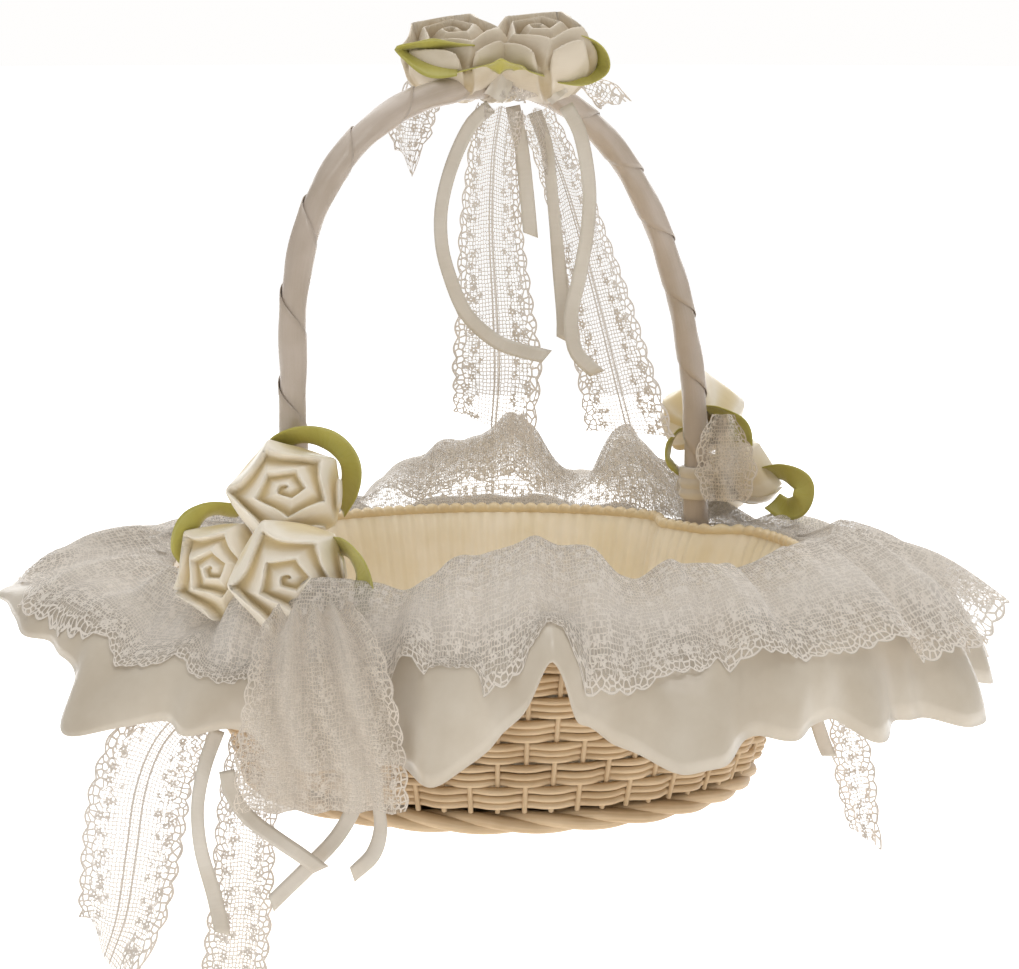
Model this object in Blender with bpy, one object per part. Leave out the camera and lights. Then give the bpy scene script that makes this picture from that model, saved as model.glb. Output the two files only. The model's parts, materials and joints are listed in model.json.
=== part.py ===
"""A flower girl basket: a woven wicker bowl with a gathered satin pouch, a satin and a lace flounce
round its rim, a ribbon-wrapped arch handle, satin roses with ribbon loops, and hanging streamers.

Metres, +Z up. The origin is the middle of the grip, at the top of the arch, where a hand holds the
basket. The handle stands in the XZ plane. The front is midway between -X and -Y.
"""

import math

import bmesh
import bpy
from mathutils import Vector

# ---- handle
HANDLE_RISE = 0.201
LEFT_INSET = 0.0200
RIGHT_INSET = 0.0105
LEFT_SHOULDER_DROP = 0.100
RIGHT_SHOULDER_DROP = 0.170
LEFT_SHOULDER_POWER = 2.4
RIGHT_SHOULDER_POWER = 2.0
WRAP_RADIUS = 0.0062
CORE_RADIUS = 0.0036
LEG_DEPTH = 0.045
WRAP_DEPTH = 0.008
HANDLE_STEPS = 9

# ---- wicker bowl
RIM_RADIUS = 0.1335
BASE_RADIUS = 0.1045
BOWL_HEIGHT = 0.0875
STAKE_COUNT = 20
STAKE_WIDTH = 0.0040
STAKE_THICKNESS = 0.0022
ROW_COUNT = 7
ROW_SPACE = 0.0012
WEAVER_THICKNESS = 0.0016
HOOP_RADIUS = 0.0030
BRAID_RADIUS = 0.0048
FOOT_BAND = 0.0012
TOP_BAND = 0.0025
BOARD_THICKNESS = 0.0040

# ---- cloth
CLOTH = 0.0009
RIBBON_CLOTH = 0.0006
HEM_HEIGHT = 0.0042
HEM_THICKNESS = 0.0012
POUCH_INSET = 0.0265
POUCH_SEGMENTS = 48
POUCH_NECK = 0.06
POUCH_CURL = 0.68
DODGE_WIDTH = 0.020
DODGE_EASE = 1.12
FLOUNCE_SEGMENTS = 72
FLOUNCE_RINGS = 5
FLOUNCE_WAVES = 18
FLOUNCE_WAVE = 0.0040
LACE_LIFT_OFF = 0.0026
RIBBON_WIDTH = 0.0060
LOOP_WIDTH = 0.0100
LEAF_WIDTH = 0.0080
TIE_THICKNESS = 0.0012
TIE_LENGTH = 0.014
TIE_HEIGHT = 0.016

# ---- clearances
TOUCH = 0.0003
WEAVE_GAP = 0.0005
SLIP = 0.0006
TIE_SLIP = 0.0010
HEM_EASE = 0.0009
ROUND = 40

LEFT_SPAN = RIM_RADIUS - LEFT_INSET
RIGHT_SPAN = RIM_RADIUS - RIGHT_INSET
RIM_Z = -HANDLE_RISE
BASE_Z = RIM_Z - BOWL_HEIGHT
HOOP_Z = RIM_Z - HOOP_RADIUS - TOUCH
BRAID_Z = BASE_Z + BRAID_RADIUS + TOUCH
STAKE_TOP = HOOP_Z - HOOP_RADIUS - TOUCH
STAKE_FOOT = BRAID_Z + BRAID_RADIUS + TOUCH
ROW_LOW = STAKE_FOOT + FOOT_BAND + 2 * WEAVE_GAP
ROW_PITCH = (STAKE_TOP - TOP_BAND - 3 * WEAVE_GAP + ROW_SPACE - ROW_LOW) / ROW_COUNT
WEAVE_SWING = (STAKE_THICKNESS + WEAVER_THICKNESS) / 2 + WEAVE_GAP
WALL_HALF = WEAVE_SWING + WEAVER_THICKNESS / 2
HEM_RADIUS = RIM_RADIUS - HOOP_RADIUS - TOUCH - CLOTH
FLOUNCE_START = HEM_RADIUS + CLOTH + HEM_THICKNESS + HEM_EASE + TOUCH
FLOUNCE_Z = RIM_Z + HEM_THICKNESS + HEM_EASE

# Outline of the satin flounce, going round from +X: angle, reach beyond the rim, arch above the
# rim, drop of hem.
SATIN_PLAN = [
    (0, 0.0625, -0.0080, 0.036),
    (12, 0.0585, -0.0080, 0.036),
    (30, 0.0565, 0.0060, 0.030),
    (45, 0.0565, 0.0080, 0.030),
    (90, 0.0600, 0.0000, 0.030),
    (135, 0.0695, 0.0060, 0.028),
    (160, 0.0645, 0.0020, 0.032),
    (175, 0.0505, -0.0080, 0.043),
    (200, 0.0295, -0.0080, 0.053),
    (225, 0.0345, 0.0120, 0.046),
    (270, 0.0515, 0.0120, 0.042),
    (315, 0.0715, 0.0080, 0.038),
    (340, 0.0665, 0.0020, 0.036),
]
# The lace flounce lies on the satin: angle, reach beyond the rim, puff above the satin, lift of
# its hem.
LACE_PLAN = [
    (0, 0.0565, 0.000, 0.002),
    (12, 0.0505, 0.000, 0.002),
    (30, 0.0385, 0.008, 0.030),
    (45, 0.0365, 0.010, 0.040),
    (70, 0.0445, 0.006, 0.022),
    (90, 0.0500, 0.003, 0.006),
    (135, 0.0705, 0.003, 0.003),
    (160, 0.0565, 0.002, 0.004),
    (175, 0.0425, 0.000, 0.000),
    (200, 0.0225, 0.000, 0.000),
    (225, 0.0305, 0.018, 0.002),
    (270, 0.0505, 0.016, 0.008),
    (315, 0.0795, 0.008, 0.010),
    (340, 0.0665, 0.004, 0.006),
]

# ---- colours
CREAM = (0.78, 0.71, 0.60)
IVORY = (0.72, 0.64, 0.54)
LACE = (0.82, 0.79, 0.76)
GREEN = (0.38, 0.36, 0.10)
WICKER = (0.42, 0.31, 0.19)
REED = (0.55, 0.43, 0.28)
GOLD_HEM = (0.76, 0.63, 0.42)


def clear_scene():
    """Empty the scene of what it starts with."""
    for thing in list(bpy.data.objects):
        bpy.data.objects.remove(thing, do_unlink=True)


def finish(name, colour, roughness):
    """A material of one colour."""
    made = bpy.data.materials.new(name)
    made.use_nodes = True
    shader = made.node_tree.nodes["Principled BSDF"]
    shader.inputs["Base Color"].default_value = (*colour, 1.0)
    shader.inputs["Roughness"].default_value = roughness
    shader.inputs["Metallic"].default_value = 0.0
    made.diffuse_color = (*colour, 1.0)
    return made


def spot(across, forward, height):
    """A point given from the basket's front: to the right, towards the front, and up."""
    turn = math.sqrt(0.5)
    return Vector((turn * (across - forward), -turn * (across + forward), height))


def link(made, parent):
    """Put an object in the scene, under its parent if it has one, without moving it."""
    bpy.context.scene.collection.objects.link(made)
    if parent:
        made.parent = parent
        made.matrix_parent_inverse = parent.matrix_world.inverted()
    return made


def place(name, shape, look, parent=None, smooth=True):
    """Make an object of a bmesh, in world coordinates."""
    bmesh.ops.recalc_face_normals(shape, faces=shape.faces)
    mesh = bpy.data.meshes.new(name)
    shape.to_mesh(mesh)
    shape.free()
    if smooth:
        mesh.shade_smooth()
    mesh.materials.append(look)
    return link(bpy.data.objects.new(name, mesh), parent)


def thicken(made, thickness):
    """Give a surface its thickness, half to each side."""
    wall = made.modifiers.new("Thickness", "SOLIDIFY")
    wall.thickness = thickness
    wall.offset = 0.0
    wall.use_even_offset = False


def circle_of(count):
    """A ring of edges of unit radius round the origin."""
    shape = bmesh.new()
    bmesh.ops.create_circle(shape, segments=count, radius=1.0)
    return shape


def angle_of(vertex):
    """Angle of a corner round the basket's axis, from +X."""
    return math.atan2(vertex.co.y, vertex.co.x) % (2 * math.pi)


def extrude_ring(shape, edges, to_point):
    """Extrude a ring of edges, and move each new corner to the point for its angle."""
    made = bmesh.ops.extrude_edge_only(shape, edges=edges)["geom"]
    corners = [item for item in made if isinstance(item, bmesh.types.BMVert)]
    for corner in corners:
        corner.co = to_point(angle_of(corner))
    return [item for item in made if isinstance(item, bmesh.types.BMEdge) and item.is_boundary]


def ring_surface(count, ring_points):
    """An open surface through rings, each a function from an angle to a point."""
    shape = circle_of(count)
    for corner in shape.verts:
        corner.co = ring_points[0](angle_of(corner))
    edges = list(shape.edges)
    for to_point in ring_points[1:]:
        edges = extrude_ring(shape, edges, to_point)
    return shape, edges


def on_ring(radius, height):
    """A ring function of constant or angle-dependent radius."""

    def to_point(angle):
        reach = radius(angle) if callable(radius) else radius
        return Vector((reach * math.cos(angle), reach * math.sin(angle), height))

    return to_point


def wall_radius(height):
    """Radius of the middle of the wicker wall at a height."""
    return RIM_RADIUS + (BASE_RADIUS - RIM_RADIUS) * (RIM_Z - height) / BOWL_HEIGHT


# ---------------------------------------------------------------- wicker bowl


def weave_offset(row):
    """How far a weaver stands off the wall's middle: outside one stake and inside the next."""
    side = 1 if row % 2 else -1

    def offset(angle):
        return side * WEAVE_SWING * math.cos(angle * STAKE_COUNT / 2)

    return offset


def make_weaver(row, look):
    """One woven row: a band that winds in and out of the stakes."""
    low = ROW_LOW + row * ROW_PITCH
    offset = weave_offset(row)
    rings = [
        on_ring(lambda angle, z=height: wall_radius(z) + offset(angle), height)
        for height in (low, low + ROW_PITCH - ROW_SPACE)
    ]
    shape, _ = ring_surface(2 * STAKE_COUNT, rings)
    thicken(place(f"weaver_row_{row + 1}", shape, look), WEAVER_THICKNESS)


def make_stakes(look):
    """The upright stakes, with the band that ties them at the foot and at the top."""
    half_turn = math.pi / STAKE_COUNT
    narrow = STAKE_WIDTH / (2 * RIM_RADIUS)

    def step(angle, z):
        """Moves a corner to the near edge of the nearest stake."""
        centre = 2 * half_turn * round(angle / (2 * half_turn))
        turned = centre + math.copysign(narrow, angle - centre)
        return Vector((wall_radius(z) * math.cos(turned), wall_radius(z) * math.sin(turned), z))

    heights = [STAKE_FOOT, STAKE_FOOT + FOOT_BAND, STAKE_TOP - TOP_BAND, STAKE_TOP]
    rings = [lambda a, z=z: step(a, z) for z in heights[1:]]
    rings.insert(0, lambda a: step(a + half_turn / 2, heights[0]))
    shape, _ = ring_surface(2 * STAKE_COUNT, rings)
    middle = (heights[1] + heights[2]) / 2
    windows = []
    for face in shape.faces:
        centre = face.calc_center_median()
        turn = math.atan2(centre.y, centre.x) / (2 * half_turn)
        if abs(centre.z - middle) < 0.01 and abs(turn - round(turn)) > 0.25:
            windows.append(face)
    bmesh.ops.delete(shape, geom=windows, context="FACES_ONLY")
    thicken(place("wall_stakes", shape, look, smooth=False), STAKE_THICKNESS)


def make_torus(name, radius, height, section, look):
    """A round rod bent into a ring."""
    shape = bmesh.new()
    made = bmesh.ops.create_circle(shape, segments=6, radius=section)
    for corner in made["verts"]:
        corner.co = Vector((radius + corner.co.x, 0.0, height + corner.co.y))
    bmesh.ops.spin(
        shape,
        geom=list(shape.edges),
        cent=(0, 0, 0),
        axis=(0, 0, 1),
        angle=2 * math.pi,
        steps=ROUND,
        use_merge=True,
    )
    place(name, shape, look)


def make_board(look):
    """The round bottom board, which the stakes and the braid stand round."""
    shape = bmesh.new()
    radius = BASE_RADIUS - BRAID_RADIUS - SLIP
    bmesh.ops.create_cone(
        shape,
        cap_ends=True,
        segments=ROUND,
        radius1=radius,
        radius2=radius,
        depth=BOARD_THICKNESS,
    )
    bmesh.ops.translate(shape, verts=shape.verts, vec=(0, 0, BASE_Z + BOARD_THICKNESS / 2))
    place("base_board", shape, look, smooth=False)


def make_bowl(wicker, reed):
    """The wicker bowl: board, foot braid, stakes, woven rows and rim hoop."""
    make_board(reed)
    make_torus("base_braid", BASE_RADIUS, BRAID_Z, BRAID_RADIUS, wicker)
    make_stakes(reed)
    for row in range(ROW_COUNT):
        make_weaver(row, wicker)
    make_torus("rim_hoop", RIM_RADIUS, HOOP_Z, HOOP_RADIUS, wicker)


# ---------------------------------------------------------------- handle


def arch_side(span, drop, power):
    """Points from the grip down one shoulder and leg to the rim."""
    points = []
    for index in range(HANDLE_STEPS + 1):
        turn = math.pi / 2 * index / HANDLE_STEPS
        x = span * math.sin(turn) ** (2 / power)
        z = drop * (math.cos(turn) ** (2 / power) - 1)
        points.append(Vector((x, 0, z)))
    points.append(Vector((span, 0, RIM_Z)))
    return points


def handle_points(depth):
    """The handle's middle line from the left leg's foot, over the grip, to the right leg's foot."""
    left = arch_side(LEFT_SPAN, LEFT_SHOULDER_DROP, LEFT_SHOULDER_POWER)
    right = arch_side(RIGHT_SPAN, RIGHT_SHOULDER_DROP, RIGHT_SHOULDER_POWER)
    line = [Vector((-point.x, 0, point.z)) for point in reversed(left[1:])] + right
    lean = (RIM_RADIUS - BASE_RADIUS) / BOWL_HEIGHT
    line.insert(0, Vector((lean * depth - LEFT_SPAN, 0, RIM_Z - depth)))
    line.append(Vector((RIGHT_SPAN - lean * depth, 0, RIM_Z - depth)))
    return line


def tube_object(name, points, radius, look, sides, parent=None, caps=True):
    """A round tube along points, closed at both ends unless caps are left off."""
    curve = bpy.data.curves.new(name, "CURVE")
    curve.dimensions = "3D"
    curve.bevel_depth = radius
    curve.bevel_resolution = sides
    curve.use_fill_caps = caps
    spline = curve.splines.new("POLY")
    spline.points.add(len(points) - 1)
    for knot, point in zip(spline.points, points):
        knot.co = (*point, 1.0)
    curve.materials.append(look)
    return link(bpy.data.objects.new(name, curve), parent)


def sleeve(name, points, inner, outer, look):
    """A sleeve of cloth round a line of points, open at both ends."""
    made = tube_object(name, points, (inner + outer) / 2, look, 3, caps=False)
    thicken(made, outer - inner)


def make_handle(ivory, reed):
    """The handle's rod, and the ribbon sleeve that is wound round it down to the rim."""
    core = handle_points(LEG_DEPTH)
    tube_object("handle_core", core, CORE_RADIUS, reed, 1)
    cover = handle_points(WRAP_DEPTH)
    sleeve("handle_wrap", cover, CORE_RADIUS + SLIP, WRAP_RADIUS, ivory)


def make_ties(look):
    """The ribbon ties that hold each cluster to the handle."""
    inner = WRAP_RADIUS + TIE_SLIP
    outer = inner + TIE_THICKNESS
    half = TIE_LENGTH / 2
    crown = [Vector((-half, 0, 0)), Vector((half, 0, 0))]
    sleeve("crown_tie", crown, inner, outer, look)
    low = RIM_Z + TIE_HEIGHT
    for name, x in (("left_tie", -LEFT_SPAN), ("right_tie", RIGHT_SPAN)):
        leg = [Vector((x, 0, low + TIE_LENGTH)), Vector((x, 0, low))]
        sleeve(name, leg, inner, outer, look)


# ---------------------------------------------------------------- pouch and flounces


def leg_dodge(angle):
    """How far the pouch and its hem are pressed inwards where a leg stands inside the rim."""
    depth = 0.0
    for middle, span in ((0.0, RIGHT_SPAN), (math.pi, LEFT_SPAN)):
        turn = abs((angle - middle + math.pi) % (2 * math.pi) - math.pi)
        need = HEM_RADIUS + HEM_THICKNESS + CLOTH - (span - WRAP_RADIUS - SLIP)
        depth += DODGE_EASE * need / (1 + (turn * HEM_RADIUS / DODGE_WIDTH) ** 6)
    return depth


def make_pouch(cream, gold):
    """The gathered satin pouch and the elastic hem round its mouth."""
    top = RIM_Z + HEM_HEIGHT + TOUCH
    floor = BASE_Z + BOARD_THICKNESS + BRAID_RADIUS
    mouth_slope = HEM_RADIUS - wall_radius(RIM_Z)
    floor_radius = BASE_RADIUS - POUCH_INSET
    rings = []
    for share in (0.0, POUCH_NECK, 0.35, POUCH_CURL, 0.9, 1.0):
        height = top + (floor - top) * share
        near = min(share / POUCH_NECK, 1.0)
        curl = max(0.0, (share - POUCH_CURL) / (1 - POUCH_CURL))
        limit = wall_radius(min(height, RIM_Z)) + (1 - near) * mouth_slope
        limit -= near * (WALL_HALF + SLIP + CLOTH)
        reach = limit + (floor_radius - limit) * curl**2
        rings.append(on_ring(lambda a, r=reach, c=curl: r - (1 - c) * leg_dodge(a), height))
    shape, edges = ring_surface(POUCH_SEGMENTS, rings)
    bmesh.ops.holes_fill(shape, edges=edges, sides=POUCH_SEGMENTS)
    thicken(place("lining", shape, cream), CLOTH)
    outside = HEM_RADIUS + CLOTH / 2 + HEM_EASE + HEM_THICKNESS / 2
    band = [
        on_ring(lambda a: outside - leg_dodge(a), height)
        for height in (RIM_Z + TOUCH + HEM_THICKNESS / 2, top)
    ]
    shape, _ = ring_surface(POUCH_SEGMENTS, band)
    thicken(place("rim_elastic", shape, gold), HEM_THICKNESS)


def plan_at(plan, angle):
    """Reads a flounce's outline at an angle, easing from one named angle to the next."""
    degrees = math.degrees(angle) % 360
    closed = plan + [(360, *plan[0][1:])]
    for before, after in zip(closed, closed[1:]):
        if before[0] <= degrees <= after[0]:
            share = (degrees - before[0]) / (after[0] - before[0])
            ease = share * share * (3 - 2 * share)
            return [a + (b - a) * ease for a, b in zip(before[1:], after[1:])]
    return list(closed[0][1:])


def satin_point(angle, share):
    """Radius and height of the satin, a share of the way from the rim to the hem."""
    beyond, arch, drop = plan_at(SATIN_PLAN, angle)
    reach = RIM_RADIUS + beyond
    steps = reach - FLOUNCE_START
    corners = [
        (FLOUNCE_START, FLOUNCE_Z),
        (FLOUNCE_START + 0.25 * steps, FLOUNCE_Z + arch),
        (reach - 0.12 * steps, FLOUNCE_Z + arch * 0.9),
        (reach, RIM_Z - drop),
    ]
    back = 1 - share
    weights = (back**3, 3 * back**2 * share, 3 * back * share**2, share**3)
    radius = sum(w * c[0] for w, c in zip(weights, corners))
    height = sum(w * c[1] for w, c in zip(weights, corners))
    return radius, height


def lace_point(angle, share):
    """Radius and height of the lace, which follows the satin below it and stands off it."""
    beyond, puff, lift = plan_at(LACE_PLAN, angle)
    radius = FLOUNCE_START + (RIM_RADIUS + beyond - FLOUNCE_START) * share
    low, high = 0.0, 1.0
    for _ in range(30):
        middle = (low + high) / 2
        if satin_point(angle, middle)[0] < radius:
            low = middle
        else:
            high = middle
    height = satin_point(angle, high)[1] + LACE_LIFT_OFF
    return radius, height + 4 * puff * share * (1 - share) + lift * share**2


def flounce_ring(profile, share):
    """One ring of a flounce, waving up and down more towards the hem."""

    def to_point(angle):
        radius, height = profile(angle, share)
        wave = FLOUNCE_WAVE * max(0.0, radius - RIM_RADIUS) / (BASE_RADIUS / 2)
        height += wave * math.cos(FLOUNCE_WAVES * angle)
        return Vector((radius * math.cos(angle), radius * math.sin(angle), height))

    return to_point


def make_flounces(cream, lace):
    """The satin flounce, and the lace one on top of it."""
    for name, profile, look in (
        ("satin_flounce", satin_point, cream),
        ("lace_flounce", lace_point, lace),
    ):
        rings = [flounce_ring(profile, ring / FLOUNCE_RINGS) for ring in range(FLOUNCE_RINGS + 1)]
        shape, _ = ring_surface(FLOUNCE_SEGMENTS, rings)
        thicken(place(name, shape, look), CLOTH)


# ---------------------------------------------------------------- roses, loops and lace


def rim_point(degrees):
    """A point of the rim at an angle from +X."""
    turn = math.radians(degrees)
    return Vector((RIM_RADIUS * math.cos(turn), RIM_RADIUS * math.sin(turn), RIM_Z))


def offset_from(anchor):
    """Offsets to the right, to the front and up, from an anchor the trims are tied to."""

    def point(across, forward, height):
        return anchor + spot(across, forward, height)

    return point


near_left = offset_from(Vector((-LEFT_SPAN, 0, RIM_Z)))
near_right = offset_from(Vector((RIGHT_SPAN, 0, RIM_Z)))
near_fall = offset_from(rim_point(204.0))
near_side = offset_from(rim_point(317.5))
near_crown = offset_from(Vector((0, 0, WRAP_RADIUS)))
near_grip = offset_from(Vector((0, 0, -WRAP_RADIUS)))

ACROSS = spot(1, 0, 0)
FRONT = spot(0, 1, 0.1)
UP_FRONT = spot(0, 1, 0.4)
LEFT_FRONT = spot(-0.5, 0.9, 0.2)
BACK = spot(0.2, -1, 0.1)
UP_BACK = spot(-0.2, -1, 0.4)
RIGHT_UP = spot(1, -0.3, 0.6)


def make_rose(name, centre, facing, radius, depth, look, stretch=1.0):
    """A rolled satin rose: a squashed ball with a sunk heart, facing one way."""
    shape = bmesh.new()
    bmesh.ops.create_uvsphere(shape, u_segments=12, v_segments=7, radius=1.0)
    for corner in shape.verts:
        corner.co.x *= radius * stretch
        corner.co.y *= radius
        corner.co.z *= depth
    heart = max(shape.verts, key=lambda v: v.co.z)
    heart.co.z -= 0.35 * depth
    turn = Vector(facing).to_track_quat("Z", "Y")
    bmesh.ops.rotate(shape, verts=shape.verts, matrix=turn.to_matrix(), cent=(0, 0, 0))
    bmesh.ops.translate(shape, verts=shape.verts, vec=centre)
    place(name, shape, look)


def make_loop(name, root, tip, breadth, facing, width, look, parent=None):
    """A ribbon loop: a closed band from its root out to its tip and back."""
    long = (tip - root) / 2
    across = Vector(facing).normalized()
    out = long.cross(across).normalized() * breadth / 2
    middle = (tip + root) / 2
    shape = bmesh.new()
    made = bmesh.ops.create_circle(shape, segments=10, radius=1.0)
    for corner in made["verts"]:
        turned = corner.co.copy()
        corner.co = middle + long * turned.x + out * turned.y - across * width / 2
    made = bmesh.ops.extrude_edge_only(shape, edges=list(shape.edges))["geom"]
    fresh = [item for item in made if isinstance(item, bmesh.types.BMVert)]
    bmesh.ops.translate(shape, verts=fresh, vec=across * width)
    thicken(place(name, shape, look, parent), RIBBON_CLOTH)


def make_strip(name, line, width_at, across, look, parent=None, thickness=RIBBON_CLOTH):
    """A flat strip of lace along a line, with a width at each point."""
    shape = bmesh.new()
    side = across.normalized()
    corners = []
    for end in (-0.5, 0.5):
        corners.append(shape.verts.new(line[0] + side * width_at[0] * end))
    edge = shape.edges.new(corners)
    for point, width in zip(line[1:], width_at[1:]):
        made = bmesh.ops.extrude_edge_only(shape, edges=[edge])["geom"]
        fresh = [item for item in made if isinstance(item, bmesh.types.BMVert)]
        edge = next(
            item
            for item in made
            if isinstance(item, bmesh.types.BMEdge) and all(v in fresh for v in item.verts)
        )
        fresh.sort(key=lambda corner: corner.co.dot(side))
        for corner, end in zip(fresh, (-0.5, 0.5)):
            corner.co = point + side * width * end
    thicken(place(name, shape, look, parent), thickness)


def smooth_line(points, spacing):
    """Points about a spacing apart along a smooth curve through the given ones."""
    line = [points[0] * 2 - points[1], *points, points[-1] * 2 - points[-2]]
    made = []
    for index in range(len(points) - 1):
        a, b, c, d = line[index : index + 4]
        count = max(1, round((c - b).length / spacing))
        for step in range(count):
            t = step / count
            made.append(
                0.5
                * (
                    2 * b
                    + (c - a) * t
                    + (2 * a - 5 * b + 4 * c - d) * t**2
                    + (3 * b - 3 * c + d - a) * t**3
                )
            )
    made.append(points[-1])
    return made


def pivot(name, point):
    """An empty on a swing axis, which the pieces that swing hang from."""
    made = bpy.data.objects.new(name, None)
    made.location = point
    bpy.context.scene.collection.objects.link(made)
    bpy.context.view_layer.update()
    return made


def make_loops(loops, facing, width, look):
    """Ribbon loops, each named with its root, its tip and how far it bellies out."""
    for name, (root, tip, breadth) in loops.items():
        make_loop(name, root, tip, breadth, facing, width, look)


def make_left_cluster(cream, green):
    """Three roses and three ribbon loops on the left leg."""
    place_at = near_left
    make_rose("left_rose_top", place_at(-0.0017, 0.0232, 0.0505), UP_FRONT, 0.0185, 0.0135, cream, 1.12)
    make_rose("left_rose_front", place_at(0.0008, 0.0422, 0.0195), FRONT, 0.0205, 0.0145, cream)
    make_rose("left_rose_side", place_at(-0.0307, 0.0237, 0.0210), LEFT_FRONT, 0.0175, 0.0120, cream)
    loops = {
        "left_loop_top": (place_at(0.0075, 0.0125, 0.0770), place_at(0.0335, 0.0125, 0.0530), 0.013),
        "left_loop_side": (place_at(-0.0347, 0.0007, 0.0270), place_at(-0.0557, 0.0027, 0.0380), 0.013),
        "left_loop_low": (place_at(0.0253, 0.0507, 0.0310), place_at(0.0353, 0.0537, 0.0080), 0.016),
    }
    make_loops(loops, FRONT, LOOP_WIDTH, green)


def make_lace_fall(lace):
    """The gathered lace that falls over the flounces, below the left roses."""
    line = [
        near_fall(-0.0242, 0.0194, 0.0110),
        near_fall(-0.0212, 0.0354, 0.0040),
        near_fall(-0.0192, 0.0434, -0.0080),
        near_fall(-0.0182, 0.0444, -0.0290),
        near_fall(-0.0182, 0.0424, -0.0480),
        near_fall(-0.0182, 0.0404, -0.0610),
    ]
    widths = (0.040, 0.050, 0.056, 0.062, 0.064, 0.062)
    make_strip("lace_fall", line, widths, ACROSS, lace)


def make_right_cluster(cream, green, lace):
    """Roses, ribbon loops and a standing bow of lace on the right leg."""
    place_at = near_right
    make_rose("right_rose_back", place_at(0.0030, -0.0310, 0.0500), UP_BACK, 0.0180, 0.0125, cream)
    make_rose("right_rose_side", place_at(0.0260, -0.0100, 0.0290), RIGHT_UP, 0.0170, 0.0115, cream)
    make_rose("right_rose_low", place_at(0.0090, -0.0370, 0.0165), BACK, 0.0150, 0.0110, cream)
    loops = {
        "right_loop_near": (place_at(-0.0150, -0.0030, 0.0290), place_at(-0.0165, -0.0120, 0.0550), 0.010),
        "right_loop_top": (place_at(0.0100, -0.0040, 0.0510), place_at(0.0190, 0.0030, 0.0660), 0.014),
        "right_loop_side": (place_at(0.0310, 0.0090, 0.0230), place_at(0.0520, 0.0180, 0.0290), 0.015),
    }
    make_loops(loops, ACROSS, LOOP_WIDTH, green)
    line = [
        place_at(0.0120, 0.0170, 0.0170),
        place_at(0.0120, 0.0160, 0.0290),
        place_at(0.0110, 0.0135, 0.0410),
        place_at(0.0110, 0.0110, 0.0545),
    ]
    make_strip("right_lace_bow", line, (0.016, 0.024, 0.022, 0.010), ACROSS, lace)


def make_crown(cream, green, lace):
    """Two roses and three green loops on top of the grip, with a lace loop at each side."""
    left = near_crown(-0.0185, 0.0080, 0.0133)
    right = near_crown(0.0215, 0.0070, 0.0133)
    make_rose("crown_rose_left", left, UP_FRONT, 0.0115, 0.0095, cream, 1.55)
    make_rose("crown_rose_right", right, UP_FRONT, 0.0125, 0.0105, cream, 1.35)
    front = offset_from(Vector((0, 0, 0)) + spot(0, WRAP_RADIUS, 0))
    loops = {
        "crown_leaf_left": (front(-0.012, 0.0183, 0.0125), front(-0.041, 0.0163, 0.0160), 0.007),
        "crown_leaf_middle": (front(-0.006, 0.0153, 0.0030), front(0.018, 0.0163, 0.0015), 0.006),
        "crown_leaf_right": (front(0.031, 0.0078, 0.0020), front(0.047, 0.0048, 0.0070), 0.011),
    }
    make_loops(loops, FRONT, LEAF_WIDTH, green)
    line = [
        spot(-0.020, -0.014, 0.0020),
        spot(-0.030, -0.016, -0.004),
        spot(-0.036, -0.018, -0.016),
        spot(-0.038, -0.018, -0.032),
    ]
    make_strip("crown_lace_left", line, (0.008, 0.014, 0.020, 0.008), ACROSS, lace)
    line = [
        spot(0.034, 0.002, 0.0010),
        spot(0.041, 0.000, -0.002),
        spot(0.048, -0.002, -0.008),
    ]
    make_strip("crown_lace_right", line, (0.006, 0.012, 0.010), ACROSS, lace)


# ---------------------------------------------------------------- streamers

# Each group swings about its pivot, and its ribbons' routes are offsets from that pivot.
CROWN_PIVOT = near_grip(0.0, 0.0065, -0.0038)
LEFT_PIVOT = near_left(-0.0247, 0.0412, -0.0140)
RIGHT_PIVOT = near_side(0.0058, -0.0002, -0.0190)
CROWN_RIBBONS = {
    "crown_ribbon_left": [
        (-0.0030, 0.0045, -0.0025), (-0.0110, 0.0055, -0.0060), (-0.0185, 0.0060, -0.0215),
        (-0.0230, 0.0060, -0.0390), (-0.0230, 0.0060, -0.0546), (-0.0195, 0.0060, -0.0685),
        (-0.0137, 0.0060, -0.0821), (-0.0054, 0.0060, -0.0910), (0.0040, 0.0060, -0.0966),
        (0.0200, 0.0060, -0.1007),
    ],
    "crown_ribbon_middle": [
        (0.0065, -0.0005, -0.0005), (0.0095, -0.0010, -0.0150), (0.0115, -0.0010, -0.0320),
        (0.0133, -0.0010, -0.0514),
    ],
    "crown_ribbon_right": [
        (0.0270, 0.0065, -0.0010), (0.0335, 0.0065, -0.0100), (0.0370, 0.0065, -0.0300),
        (0.0366, 0.0065, -0.0473), (0.0332, 0.0065, -0.0679), (0.0299, 0.0065, -0.0833),
        (0.0310, 0.0070, -0.0960), (0.0345, 0.0075, -0.1020), (0.0407, 0.0080, -0.1075),
    ],
    "crown_ribbon_inner": [
        (0.0150, -0.0005, -0.0010), (0.0200, -0.0010, -0.0163), (0.0229, -0.0010, -0.0421),
        (0.0249, -0.0010, -0.0627), (0.0268, -0.0010, -0.0833), (0.0268, -0.0010, -0.0946),
    ],
}
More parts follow.
